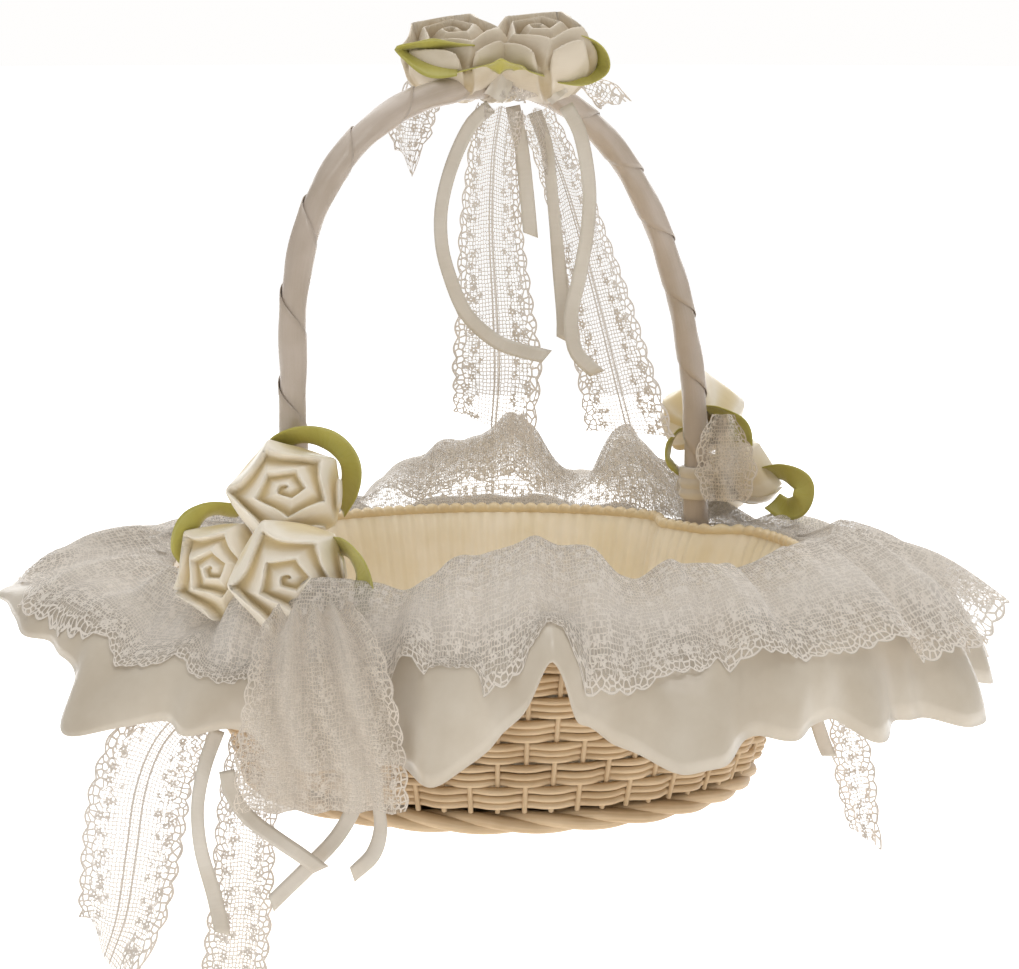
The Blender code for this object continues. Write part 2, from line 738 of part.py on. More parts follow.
LEFT_RIBBONS = {
    "left_ribbon_outer": [
        (-0.0030, 0.0015, -0.0270), (-0.0080, 0.0025, -0.0410), (-0.0110, 0.0025, -0.0570),
        (-0.0100, 0.0025, -0.0740), (-0.0050, 0.0025, -0.0930), (-0.0020, 0.0025, -0.1080),
    ],
    "left_ribbon_cross": [
        (0.0010, 0.0105, -0.0410), (0.0030, 0.0110, -0.0500), (0.0090, 0.0115, -0.0590),
        (0.0190, 0.0115, -0.0670), (0.0290, 0.0115, -0.0740), (0.0370, 0.0115, -0.0800),
    ],
    "left_ribbon_back": [
        (0.0530, 0.0025, -0.0410), (0.0505, 0.0025, -0.0550), (0.0430, 0.0025, -0.0690),
        (0.0320, 0.0025, -0.0810), (0.0220, 0.0025, -0.0910), (0.0170, 0.0025, -0.0960),
    ],
    "left_ribbon_inner": [
        (0.0570, 0.0105, -0.0390), (0.0590, 0.0110, -0.0530), (0.0600, 0.0115, -0.0640),
        (0.0570, 0.0115, -0.0740), (0.0490, 0.0115, -0.0820),
    ],
}
RIGHT_RIBBON = [
    (-0.0132, 0.0042, -0.0200), (-0.0107, 0.0042, -0.0290), (-0.0082, 0.0042, -0.0380),
    (-0.0052, 0.0042, -0.0470), (-0.0022, 0.0042, -0.0560), (0.0003, 0.0042, -0.0620),
]


def make_ribbons(routes, anchor, look, swing):
    """Narrow ribbons that hang free, each a plain round tube along its route."""
    for name, route in routes.items():
        points = smooth_line([anchor + spot(*stop) for stop in route], 2.2 * RIBBON_WIDTH)
        tube_object(name, points, RIBBON_WIDTH / 2, look, 2, swing)


def make_crown_streamers(cream, lace):
    """The ribbons and lace tails that hang from the tie at the crown."""
    swing = pivot("crown_swing", CROWN_PIVOT)
    make_ribbons(CROWN_RIBBONS, CROWN_PIVOT, cream, swing)
    line = [
        near_grip(0.0020, 0.000, -0.0048),
        near_grip(-0.0020, 0.000, -0.0238),
        near_grip(-0.0030, 0.000, -0.0538),
        near_grip(-0.0015, 0.000, -0.0838),
        near_grip(-0.0005, 0.000, -0.1118),
        near_grip(-0.0020, 0.000, -0.1358),
    ]
    widths = (0.008, 0.020, 0.026, 0.032, 0.038, 0.035)
    make_strip("crown_tail_left", line, widths, ACROSS, lace, swing)
    line = [
        near_grip(0.0130, -0.004, -0.0048),
        near_grip(0.0250, -0.004, -0.0288),
        near_grip(0.0330, -0.004, -0.0538),
        near_grip(0.0410, -0.004, -0.0838),
        near_grip(0.0480, -0.004, -0.1118),
        near_grip(0.0550, -0.004, -0.1388),
    ]
    widths = (0.008, 0.014, 0.019, 0.028, 0.032, 0.036)
    make_strip("crown_tail_right", line, widths, ACROSS, lace, swing)


def make_left_streamers(cream, lace):
    """The ribbons and lace tails that hang below the left flounces."""
    swing = pivot("left_swing", LEFT_PIVOT)
    make_ribbons(LEFT_RIBBONS, LEFT_PIVOT, cream, swing)
    line = [
        near_left(-0.0427, 0.0217, -0.0390),
        near_left(-0.0527, 0.0237, -0.0510),
        near_left(-0.0597, 0.0247, -0.0690),
        near_left(-0.0637, 0.0257, -0.0940),
        near_left(-0.0677, 0.0267, -0.1190),
        near_left(-0.0737, 0.0277, -0.1370),
    ]
    widths = (0.034, 0.038, 0.041, 0.040, 0.036, 0.026)
    make_strip("left_tail_outer", line, widths, ACROSS, lace, swing)
    line = [
        near_left(-0.0137, 0.0357, -0.0450),
        near_left(-0.0167, 0.0362, -0.0690),
        near_left(-0.0187, 0.0367, -0.0940),
        near_left(-0.0207, 0.0377, -0.1190),
        near_left(-0.0247, 0.0387, -0.1540),
    ]
    widths = (0.020, 0.024, 0.025, 0.026, 0.026)
    make_strip("left_tail_inner", line, widths, ACROSS, lace, swing)


def make_right_streamers(cream, lace):
    """The ribbon and the lace tail that hang below the right flounces."""
    swing = pivot("right_swing", RIGHT_PIVOT)
    make_ribbons({"right_ribbon": RIGHT_RIBBON}, RIGHT_PIVOT, cream, swing)
    line = [
        near_side(0.0116, -0.0002, -0.0410),
        near_side(0.0146, -0.0002, -0.0690),
        near_side(0.0186, -0.0002, -0.0930),
        near_side(0.0232, -0.0002, -0.1180),
    ]
    make_strip("right_tail", line, (0.012, 0.016, 0.018, 0.012), ACROSS, lace, swing)


def build():
    """Clear the scene and make every piece."""
    clear_scene()
    cream = finish("cream_satin", CREAM, 0.45)
    ivory = finish("ivory_ribbon", IVORY, 0.5)
    lace = finish("lace_net", LACE, 0.8)
    green = finish("green_satin", GREEN, 0.4)
    wicker = finish("wicker", WICKER, 0.6)
    reed = finish("reed", REED, 0.65)
    gold = finish("hem_satin", GOLD_HEM, 0.5)
    make_bowl(wicker, reed)
    make_handle(ivory, reed)
    make_ties(cream)
    make_pouch(cream, gold)
    make_flounces(cream, lace)
    make_left_cluster(cream, green)
    make_lace_fall(lace)
    make_right_cluster(cream, green, lace)
    make_crown(cream, green, lace)
    make_crown_streamers(cream, lace)
    make_left_streamers(cream, lace)
    make_right_streamers(cream, lace)


build()
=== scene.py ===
"""A flower girl basket: woven willow, a gathered satin pouch, satin and lace flounces, a
ribbon-wound handle, rolled satin roses with ribbon loops, and hanging lace and ribbon streamers.

Metres, +Z up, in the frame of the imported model. Its origin is the middle of the grip, and its
front is midway between -X and -Y.
"""

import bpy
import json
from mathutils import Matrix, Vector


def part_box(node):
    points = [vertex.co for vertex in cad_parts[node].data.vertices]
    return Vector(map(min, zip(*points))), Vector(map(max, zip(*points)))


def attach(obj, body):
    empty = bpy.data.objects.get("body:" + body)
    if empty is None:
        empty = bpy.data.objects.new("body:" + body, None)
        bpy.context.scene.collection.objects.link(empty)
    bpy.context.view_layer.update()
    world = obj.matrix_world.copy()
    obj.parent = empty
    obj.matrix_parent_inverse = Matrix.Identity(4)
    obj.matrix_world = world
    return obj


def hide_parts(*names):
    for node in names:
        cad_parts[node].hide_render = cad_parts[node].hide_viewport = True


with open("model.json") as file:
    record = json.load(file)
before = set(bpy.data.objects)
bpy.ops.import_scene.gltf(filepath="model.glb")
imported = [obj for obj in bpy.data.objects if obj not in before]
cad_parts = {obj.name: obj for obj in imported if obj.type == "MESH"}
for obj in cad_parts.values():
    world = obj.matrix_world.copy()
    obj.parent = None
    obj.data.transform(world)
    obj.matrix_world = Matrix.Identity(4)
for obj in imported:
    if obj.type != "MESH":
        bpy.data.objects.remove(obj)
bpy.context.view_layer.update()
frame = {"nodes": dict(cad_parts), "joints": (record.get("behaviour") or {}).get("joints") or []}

import json
import logging
import math
from dataclasses import dataclass, field
from enum import Enum
from typing import Callable, Dict, Optional, Sequence, Tuple

import bmesh
import bpy
import numpy as np
from mathutils import Vector

log = logging.getLogger("basket")

Array = np.ndarray
Surface = Callable[[Array, Array], Array]
Socket = bpy.types.NodeSocket
Triple = Tuple[float, float, float]

UP = np.array((0.0, 0.0, 1.0))
SCALLOP_PITCH = 0.0088
SCALLOP_DEPTH = 0.0017
STAKE_SEGMENTS = 5


# ---------------------------------------------------------------- measures


def spot(across: float, forward: float, height: float) -> Array:
    """A point given to the right, to the front and up, as seen by someone facing the basket."""
    turn = math.sqrt(0.5)
    return np.array((turn * (across - forward), -turn * (across + forward), height))


def route(offsets: Sequence[Triple], anchor: Array) -> Array:
    """Points of a route, from its offsets to the right, to the front and up from an anchor."""
    return np.array([anchor + spot(*stop) for stop in offsets])


def round_points(radius: Array, turn: Array, height: Array) -> Array:
    """Points at distances from the middle of the basket, at angles from +X and at heights."""
    return np.stack((radius * np.cos(turn), radius * np.sin(turn), height), axis=1)


def joint_place(name: str) -> Array:
    """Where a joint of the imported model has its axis."""
    return np.array(next(joint["pos_m"] for joint in frame["joints"] if joint["name"] == name))


@dataclass(frozen=True)
class Measures:
    """Sizes of the basket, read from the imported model's boxes."""

    rim_radius: float
    rim_z: float
    base_radius: float
    base_z: float
    braid_radius: float
    wrap_radius: float
    left_span: float
    right_span: float

    @classmethod
    def of_frame(cls) -> "Measures":
        """Read every size from the nodes that show it."""
        hoop_low, hoop_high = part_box("rim_hoop")
        braid_low, braid_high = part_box("base_braid")
        wrap_low, wrap_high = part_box("handle_wrap")
        board_low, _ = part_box("base_board")
        wrap_radius = float(wrap_high.z)
        hoop_section = (hoop_high.z - hoop_low.z) / 2
        braid_section = (braid_high.z - braid_low.z) / 2
        return cls(
            rim_radius=float(hoop_high.x - hoop_section),
            rim_z=float(hoop_high.z),
            base_radius=float(braid_high.x - braid_section),
            base_z=float(board_low.z),
            braid_radius=float(braid_section),
            wrap_radius=wrap_radius,
            left_span=float(-wrap_low.x - wrap_radius),
            right_span=float(wrap_high.x - wrap_radius),
        )

    def wall_radius(self, height: Array) -> Array:
        """Radius of the middle of the wicker wall at a height."""
        share = (self.rim_z - height) / (self.rim_z - self.base_z)
        return self.rim_radius + (self.base_radius - self.rim_radius) * share

    def left_leg(self) -> Array:
        """Where the left leg of the handle meets the rim."""
        return np.array((-self.left_span, 0.0, self.rim_z))

    def right_leg(self) -> Array:
        """Where the right leg of the handle meets the rim."""
        return np.array((self.right_span, 0.0, self.rim_z))

    def rim_point(self, degrees: float) -> Array:
        """A point of the rim at an angle from +X."""
        turn = math.radians(degrees)
        reach = self.rim_radius
        return np.array((reach * math.cos(turn), reach * math.sin(turn), self.rim_z))


# ---------------------------------------------------------------- shader helpers


class Tree:
    """Adds nodes to one node tree, and links what it is given to their inputs."""

    def __init__(self, tree: bpy.types.NodeTree) -> None:
        """Keep the tree that nodes are added to."""
        self.tree = tree

    def add(self, kind: str, feeds: Optional[Dict] = None, **settings) -> bpy.types.Node:
        """Add a node.

        Args:
            kind: the node's type.
            feeds: a socket or a value for each named or numbered input.
            settings: attributes of the node.

        Returns:
            The node.
        """
        made = self.tree.nodes.new(kind)
        for name, value in settings.items():
            setattr(made, name, value)
        for key, value in (feeds or {}).items():
            self.feed(made.inputs[key], value)
        return made

    def feed(self, socket: Socket, value) -> None:
        """Link a socket to an input, or set the input's own value."""
        if isinstance(value, bpy.types.NodeSocket):
            self.tree.links.new(value, socket)
        elif isinstance(value, (tuple, list)) and socket.type == "RGBA" and len(value) == 3:
            socket.default_value = (*value, 1.0)
        else:
            socket.default_value = value

    def calc(self, operation: str, *values, clamp: bool = False) -> Socket:
        """One step of arithmetic on sockets or numbers."""
        made = self.add("ShaderNodeMath", operation=operation, use_clamp=clamp)
        for socket, value in zip(made.inputs, values):
            self.feed(socket, value)
        return made.outputs[0]

    def ramp(self, value: Socket, low: float, high: float) -> Socket:
        """0 at low and 1 at high, or the other way round where low is the larger."""
        share = self.calc("SUBTRACT", value, low)
        return self.calc("DIVIDE", share, high - low, clamp=True)

    def blend_number(self, share: Socket, one: Socket, two: Socket) -> Socket:
        """A number between two numbers."""
        return self.calc("ADD", one, self.calc("MULTIPLY", share, self.calc("SUBTRACT", two, one)))

    def blend(self, share, one, two) -> Socket:
        """A colour between two colours."""
        made = self.add("ShaderNodeMix", data_type="RGBA")
        self.feed(made.inputs["Factor"], share)
        self.feed(made.inputs[6], one)
        self.feed(made.inputs[7], two)
        return made.outputs[2]

    def noise(self, vector: Socket, scale: float, detail: float = 3.0) -> Socket:
        """Soft noise from 0 to 1."""
        feeds = {"Vector": vector, "Scale": scale, "Detail": detail, "Roughness": 0.55}
        return self.add("ShaderNodeTexNoise", feeds).outputs["Fac"]

    def stretch(self, vector: Socket, scale: Triple) -> Socket:
        """A vector scaled along each axis."""
        feeds = {"Vector": vector, "Scale": scale}
        return self.add("ShaderNodeMapping", feeds).outputs["Vector"]


def new_group(name: str, inputs: Dict[str, float], outputs: Sequence[str]) -> Tuple:
    """A shader node group with a cloth coordinate, number inputs and number outputs.

    Args:
        name: the group's name.
        inputs: each number input with its usual value.
        outputs: the names of the outputs.

    Returns:
        The group, its tree helper, its input node and its output node.
    """
    group = bpy.data.node_groups.new(name, "ShaderNodeTree")
    group.interface.new_socket("Place", in_out="INPUT", socket_type="NodeSocketVector")
    for label, usual in inputs.items():
        socket = group.interface.new_socket(label, in_out="INPUT", socket_type="NodeSocketFloat")
        socket.default_value = usual
    for label in outputs:
        group.interface.new_socket(label, in_out="OUTPUT", socket_type="NodeSocketFloat")
    tree = Tree(group)
    return group, tree, tree.add("NodeGroupInput"), tree.add("NodeGroupOutput")


def threads_group() -> bpy.types.NodeTree:
    """Fine satin threads along the cloth, with slubs, as a height from 0 to 1."""
    group, tree, given, out = new_group("woven_threads", {"Pitch": 0.0004}, ["Height"])
    per_metre = tree.calc("DIVIDE", 1.0, given.outputs["Pitch"])
    split = tree.add("ShaderNodeSeparateXYZ", {0: given.outputs["Place"]})
    waves = []
    for axis, share in ((0, 1.0), (1, 0.35)):
        turned = tree.calc("MULTIPLY", tree.calc("MULTIPLY", split.outputs[axis], per_metre), 6.283)
        waves.append(tree.calc("MULTIPLY", tree.calc("SINE", turned), share))
    slub = tree.noise(tree.stretch(given.outputs["Place"], (60.0, 900.0, 1.0)), 1.0, 2.0)
    both = tree.calc("MULTIPLY_ADD", tree.calc("ADD", *waves), 0.3, slub)
    tree.feed(out.inputs["Height"], both)
    return group


def lace_group() -> bpy.types.NodeTree:
    """Floral lace: a fine net, sprigs of small flowers, an open worked border and a corded edge.

    Its place is in metres, with the cut edge along X. Its edge input is the distance to the cut
    edge, and middle is how far from it a woven line runs. Its ground is closest in a band beside
    the border, and more open farther in.
    """
    inputs = {"Edge": 0.01, "Net": 0.0016, "Bars": 0.0027, "Flower": 0.0066}
    inputs.update({"Spread": 0.013, "Middle": 1.0, "Dense": 0.0})
    group, tree, given, out = new_group("floral_lace", inputs, ["Mask", "Height"])
    place = given.outputs["Place"]
    along = tree.add("ShaderNodeSeparateXYZ", {0: place}).outputs[0]
    wave = tree.calc("SINE", tree.calc("MULTIPLY", along, math.pi / SCALLOP_PITCH))
    swing = tree.calc("ABSOLUTE", wave)
    bite = tree.calc("MULTIPLY", tree.calc("SUBTRACT", 1.0, swing), SCALLOP_DEPTH)
    edge = tree.calc("SUBTRACT", given.outputs["Edge"], bite)
    kept = tree.ramp(edge, 0.0, 0.0002)

    def cells(pitch: str, feature: str, random: float) -> bpy.types.Node:
        """Cells of the lace, of a pitch that is one of the inputs."""
        scale = tree.calc("DIVIDE", 1.0, given.outputs[pitch])
        feeds = {"Vector": place, "Scale": scale, "Randomness": random}
        return tree.add("ShaderNodeTexVoronoi", feeds, feature=feature, voronoi_dimensions="2D")

    net = tree.ramp(cells("Net", "DISTANCE_TO_EDGE", 0.3).outputs["Distance"], 0.15, 0.07)
    bars = tree.ramp(cells("Bars", "DISTANCE_TO_EDGE", 0.8).outputs["Distance"], 0.17, 0.10)
    border = tree.ramp(edge, 0.0062, 0.0052)
    ground = tree.blend_number(border, tree.calc("MULTIPLY", net, 0.9), bars)

    flowers = cells("Flower", "F1", 0.6)
    away = tree.add("ShaderNodeVectorMath", operation="SUBTRACT")
    tree.feed(away.inputs[0], place)
    tree.feed(away.inputs[1], flowers.outputs["Position"])
    split = tree.add("ShaderNodeSeparateXYZ", {0: away.outputs[0]})
    turn = tree.calc("ARCTAN2", split.outputs[1], split.outputs[0])
    lobes = tree.calc("COSINE", tree.calc("MULTIPLY", turn, 5.0))
    petal = tree.calc("MULTIPLY_ADD", lobes, 0.07, 0.24)
    inside = tree.ramp(tree.calc("SUBTRACT", petal, flowers.outputs["Distance"]), 0.0, 0.03)
    eye = tree.ramp(flowers.outputs["Distance"], 0.05, 0.08)
    stems = tree.calc("ABSOLUTE", tree.calc("SUBTRACT", tree.noise(place, 210.0, 1.0), 0.5))
    stem = tree.ramp(stems, 0.030, 0.014)
    sprig = tree.calc("MAXIMUM", tree.calc("MULTIPLY", inside, eye), stem)
    inner = tree.ramp(edge, 0.0036, 0.0046)
    outer = tree.calc("SUBTRACT", edge, given.outputs["Spread"])
    band = tree.calc("MULTIPLY", inner, tree.ramp(outer, 0.0, -0.001))
    sprig = tree.calc("MULTIPLY", sprig, band)

    cord = tree.ramp(edge, 0.0012, 0.0008)
    from_middle = tree.calc("SUBTRACT", given.outputs["Edge"], given.outputs["Middle"])
    line = tree.ramp(tree.calc("ABSOLUTE", from_middle), 0.0005, 0.0003)
    solid = tree.calc("MAXIMUM", tree.calc("MAXIMUM", sprig, cord), line)
    mask = tree.calc("MAXIMUM", ground, solid)
    thin = tree.calc("MULTIPLY_ADD", tree.ramp(edge, 0.004, 0.020), 0.75, 0.25)
    crest = tree.calc("MULTIPLY_ADD", tree.ramp(edge, 0.026, 0.048), -0.70, 1.0)
    dense = tree.calc("MULTIPLY", given.outputs["Dense"], tree.calc("MULTIPLY", thin, crest))
    haze = tree.calc("MULTIPLY", dense, tree.calc("SUBTRACT", 1.0, mask))
    whole = tree.calc("MULTIPLY", tree.calc("ADD", mask, haze, clamp=True), kept)
    tree.feed(out.inputs["Mask"], whole)
    tree.feed(out.inputs["Height"], tree.calc("MULTIPLY_ADD", solid, 0.7, ground))
    return group


@dataclass(frozen=True)
class Satin:
    """A satin cloth or ribbon: its colours, gloss and creases, and whether shade is painted in the
    valleys between a rose's wraps.
    """

    name: str
    colour: Triple
    deep: Triple
    roughness: float = 0.34
    sheen: float = 0.25
    crease: float = 0.0008
    crease_scale: float = 38.0
    shade_in_valleys: bool = False

    def material(self, threads: bpy.types.NodeTree) -> bpy.types.Material:
        """Build the material.

        Args:
            threads: the group of woven threads.

        Returns:
            The material.
        """
        made, tree, shader = new_material(self.name)
        cloth = tree.add("ShaderNodeUVMap", uv_map="cloth").outputs["UV"]
        place = tree.add("ShaderNodeTexCoord").outputs["Object"]
        weave = tree.add("ShaderNodeGroup", node_tree=threads)
        tree.feed(weave.inputs["Place"], cloth)
        tone_and_valley_shade = tree.ramp(tree.noise(place, self.crease_scale, 4.0), 0.32, 0.72)
        # On creased satins the valleys between a rose's wraps take the darker tone: painted shade
        # in the creases, over the random tone.
        if self.shade_in_valleys:
            ridge = tree.add("ShaderNodeAttribute", attribute_name="edge").outputs["Fac"]
            pale = tree.calc("ADD", tone_and_valley_shade, 0.6)
            tone_and_valley_shade = tree.calc("MULTIPLY", tree.ramp(ridge, 0.0, 0.55), pale, clamp=True)
        colour = tree.blend(tone_and_valley_shade, self.deep, self.colour)
        tree.feed(shader.inputs["Base Color"], colour)
        rough = tree.calc("MULTIPLY_ADD", weave.outputs["Height"], 0.08, self.roughness - 0.04)
        tree.feed(shader.inputs["Roughness"], rough)
        shader.inputs["Sheen Weight"].default_value = self.sheen
        shader.inputs["Sheen Roughness"].default_value = 0.4
        shader.inputs["Specular IOR Level"].default_value = 0.55
        fold = tree.noise(tree.stretch(place, (1.0, 1.0, 0.5)), self.crease_scale * 2.2, 2.0)
        height = tree.calc("MULTIPLY_ADD", weave.outputs["Height"], 0.04, fold)
        bump = tree.add("ShaderNodeBump", {"Height": height, "Distance": self.crease})
        bump.inputs["Strength"].default_value = 0.6
        tree.feed(shader.inputs["Normal"], bump.outputs["Normal"])
        return made


@dataclass(frozen=True)
class Lace:
    """A floral lace: its thread colour, and how close its ground is."""

    name: str
    colour: Triple
    dense: float = 0.1
    spread: float = 0.013
    middle: float = 1.0

    def material(self, lace: bpy.types.NodeTree) -> bpy.types.Material:
        """Build the material, which reads the piece's cloth coordinates and its edge distance."""
        made, tree, shader = new_material(self.name)
        cloth = tree.add("ShaderNodeUVMap", uv_map="cloth").outputs["UV"]
        edge = tree.add("ShaderNodeAttribute", attribute_name="edge").outputs["Fac"]
        net = tree.add("ShaderNodeGroup", node_tree=lace)
        feeds = {"Place": cloth, "Edge": edge, "Dense": self.dense}
        for label, value in {**feeds, "Spread": self.spread, "Middle": self.middle}.items():
            tree.feed(net.inputs[label], value)
        shade = tuple(0.93 * part for part in self.colour)
        colour = tree.blend(net.outputs["Height"], shade, self.colour)
        tree.feed(shader.inputs["Base Color"], colour)
        tree.feed(shader.inputs["Alpha"], net.outputs["Mask"])
        shader.inputs["Roughness"].default_value = 0.75
        shader.inputs["Sheen Weight"].default_value = 0.2
        shader.inputs["Specular IOR Level"].default_value = 0.2
        # Painted light: a faint glow in the lace's own colour, standing in for light shining
        # through its threads.
        shader.inputs["Emission Color"].default_value = (*self.colour, 1.0)
        shader.inputs["Emission Strength"].default_value = 0.08
        bump = tree.add("ShaderNodeBump", {"Height": net.outputs["Height"], "Distance": 0.00015})
        tree.feed(shader.inputs["Normal"], bump.outputs["Normal"])
        return made


@dataclass(frozen=True)
class Willow:
    """Peeled willow: its pale and brown tones, its gloss and whether its grain follows a rod."""

    name: str
    pale: Triple
    brown: Triple
    roughness: float = 0.5
    along_rod: bool = True

    def material(self) -> bpy.types.Material:
        """Build the material, whose grain runs along each rod where it has cloth coordinates."""
        made, tree, shader = new_material(self.name)
        place = tree.add("ShaderNodeTexCoord").outputs["Object"]
        rod = place
        if self.along_rod:
            rod = tree.add("ShaderNodeUVMap", uv_map="cloth").outputs["UV"]
        grain = tree.noise(tree.stretch(rod, (900.0, 30.0, 1.0)), 1.0, 4.0)
        tone = tree.noise(place, 45.0, 3.0)
        mixed = tree.calc("MULTIPLY_ADD", grain, 0.55, tree.calc("MULTIPLY", tone, 0.6))
        share = tree.ramp(mixed, 0.35, 0.8)
        tree.feed(shader.inputs["Base Color"], tree.blend(share, self.brown, self.pale))
        rough = tree.calc("MULTIPLY_ADD", grain, 0.2, self.roughness - 0.1)
        tree.feed(shader.inputs["Roughness"], rough)
        shader.inputs["Specular IOR Level"].default_value = 0.4
        bump = tree.add("ShaderNodeBump", {"Height": grain, "Distance": 0.0003})
        tree.feed(shader.inputs["Normal"], bump.outputs["Normal"])
        return made


def new_material(name: str) -> Tuple[bpy.types.Material, Tree, bpy.types.Node]:
    """A new material, its tree helper and its shader."""
    made = bpy.data.materials.new(name)
    made.use_nodes = True
    return made, Tree(made.node_tree), made.node_tree.nodes["Principled BSDF"]


# ---------------------------------------------------------------- shaping helpers


def unit(vectors: Array) -> Array:
    """Vectors brought to a length of one."""
    return vectors / np.maximum(np.linalg.norm(vectors, axis=-1, keepdims=True), 1e-12)


def between(before: Array, start: Array, end: Array, after: Array, share: Array) -> Array:
    """Places on the smooth curve through four neighbours, at shares of its middle stretch."""
    cubic = 3 * (start - end) + after - before
    square = 2 * before - 5 * start + 4 * end - after
    return start + 0.5 * share * (end - before + share * (square + share * cubic))


def smooth_line(points: Array, count: int) -> Array:
    """Evenly spaced points of a smooth curve through the given ones.

    Args:
        points: the points that the curve goes through.
        count: how many points to return.

    Returns:
        The points, one a row.
    """
    ends = np.vstack((2 * points[0] - points[1], points, 2 * points[-1] - points[-2]))
    fine = []
    for index in range(len(points) - 1):
        a, b, c, d = ends[index : index + 4]
        t = np.linspace(0.0, 1.0, 24, endpoint=False)[:, None]
        fine.append(between(a, b, c, d, t))
    return even_line(np.vstack((*fine, points[-1:])), count)


def even_line(points: Array, count: int) -> Array:
    """Evenly spaced points along straight stretches between the given ones."""
    walked = np.concatenate(([0.0], np.cumsum(np.linalg.norm(np.diff(points, axis=0), axis=1))))
    stops = np.linspace(0.0, walked[-1], count)
    return np.stack([np.interp(stops, walked, points[:, axis]) for axis in range(3)], axis=1)


def line_length(points: Array) -> float:
    """Length of a line of points."""
    return float(np.linalg.norm(np.diff(points, axis=0), axis=1).sum())


def ring_table(table: Sequence[Sequence[float]], column: int, blur: float = 2.0) -> Callable:
    """A smooth closed curve through values given at angles.

    Args:
        table: rows that start with an angle in degrees from +X.
        column: which value of each row to read.
        blur: how many degrees the corners are eased over.

    Returns:
        A function from angles in radians to values.
    """
    rows = sorted(table)
    angles = [row[0] for row in rows]
    dense = np.arange(0.0, 360.0, 0.5)
    values = np.interp(dense, angles, [row[column] for row in rows], period=360.0)
    reach = max(int(round(blur * 2)), 1)
    weights = np.hanning(2 * reach + 3)[1:-1]
    weights /= weights.sum()
    half = len(weights) // 2
    eased = np.convolve(np.concatenate((values[-half:], values, values[:half])), weights, "valid")
    return lambda turn: np.interp(np.degrees(turn) % 360.0, dense, eased, period=360.0)


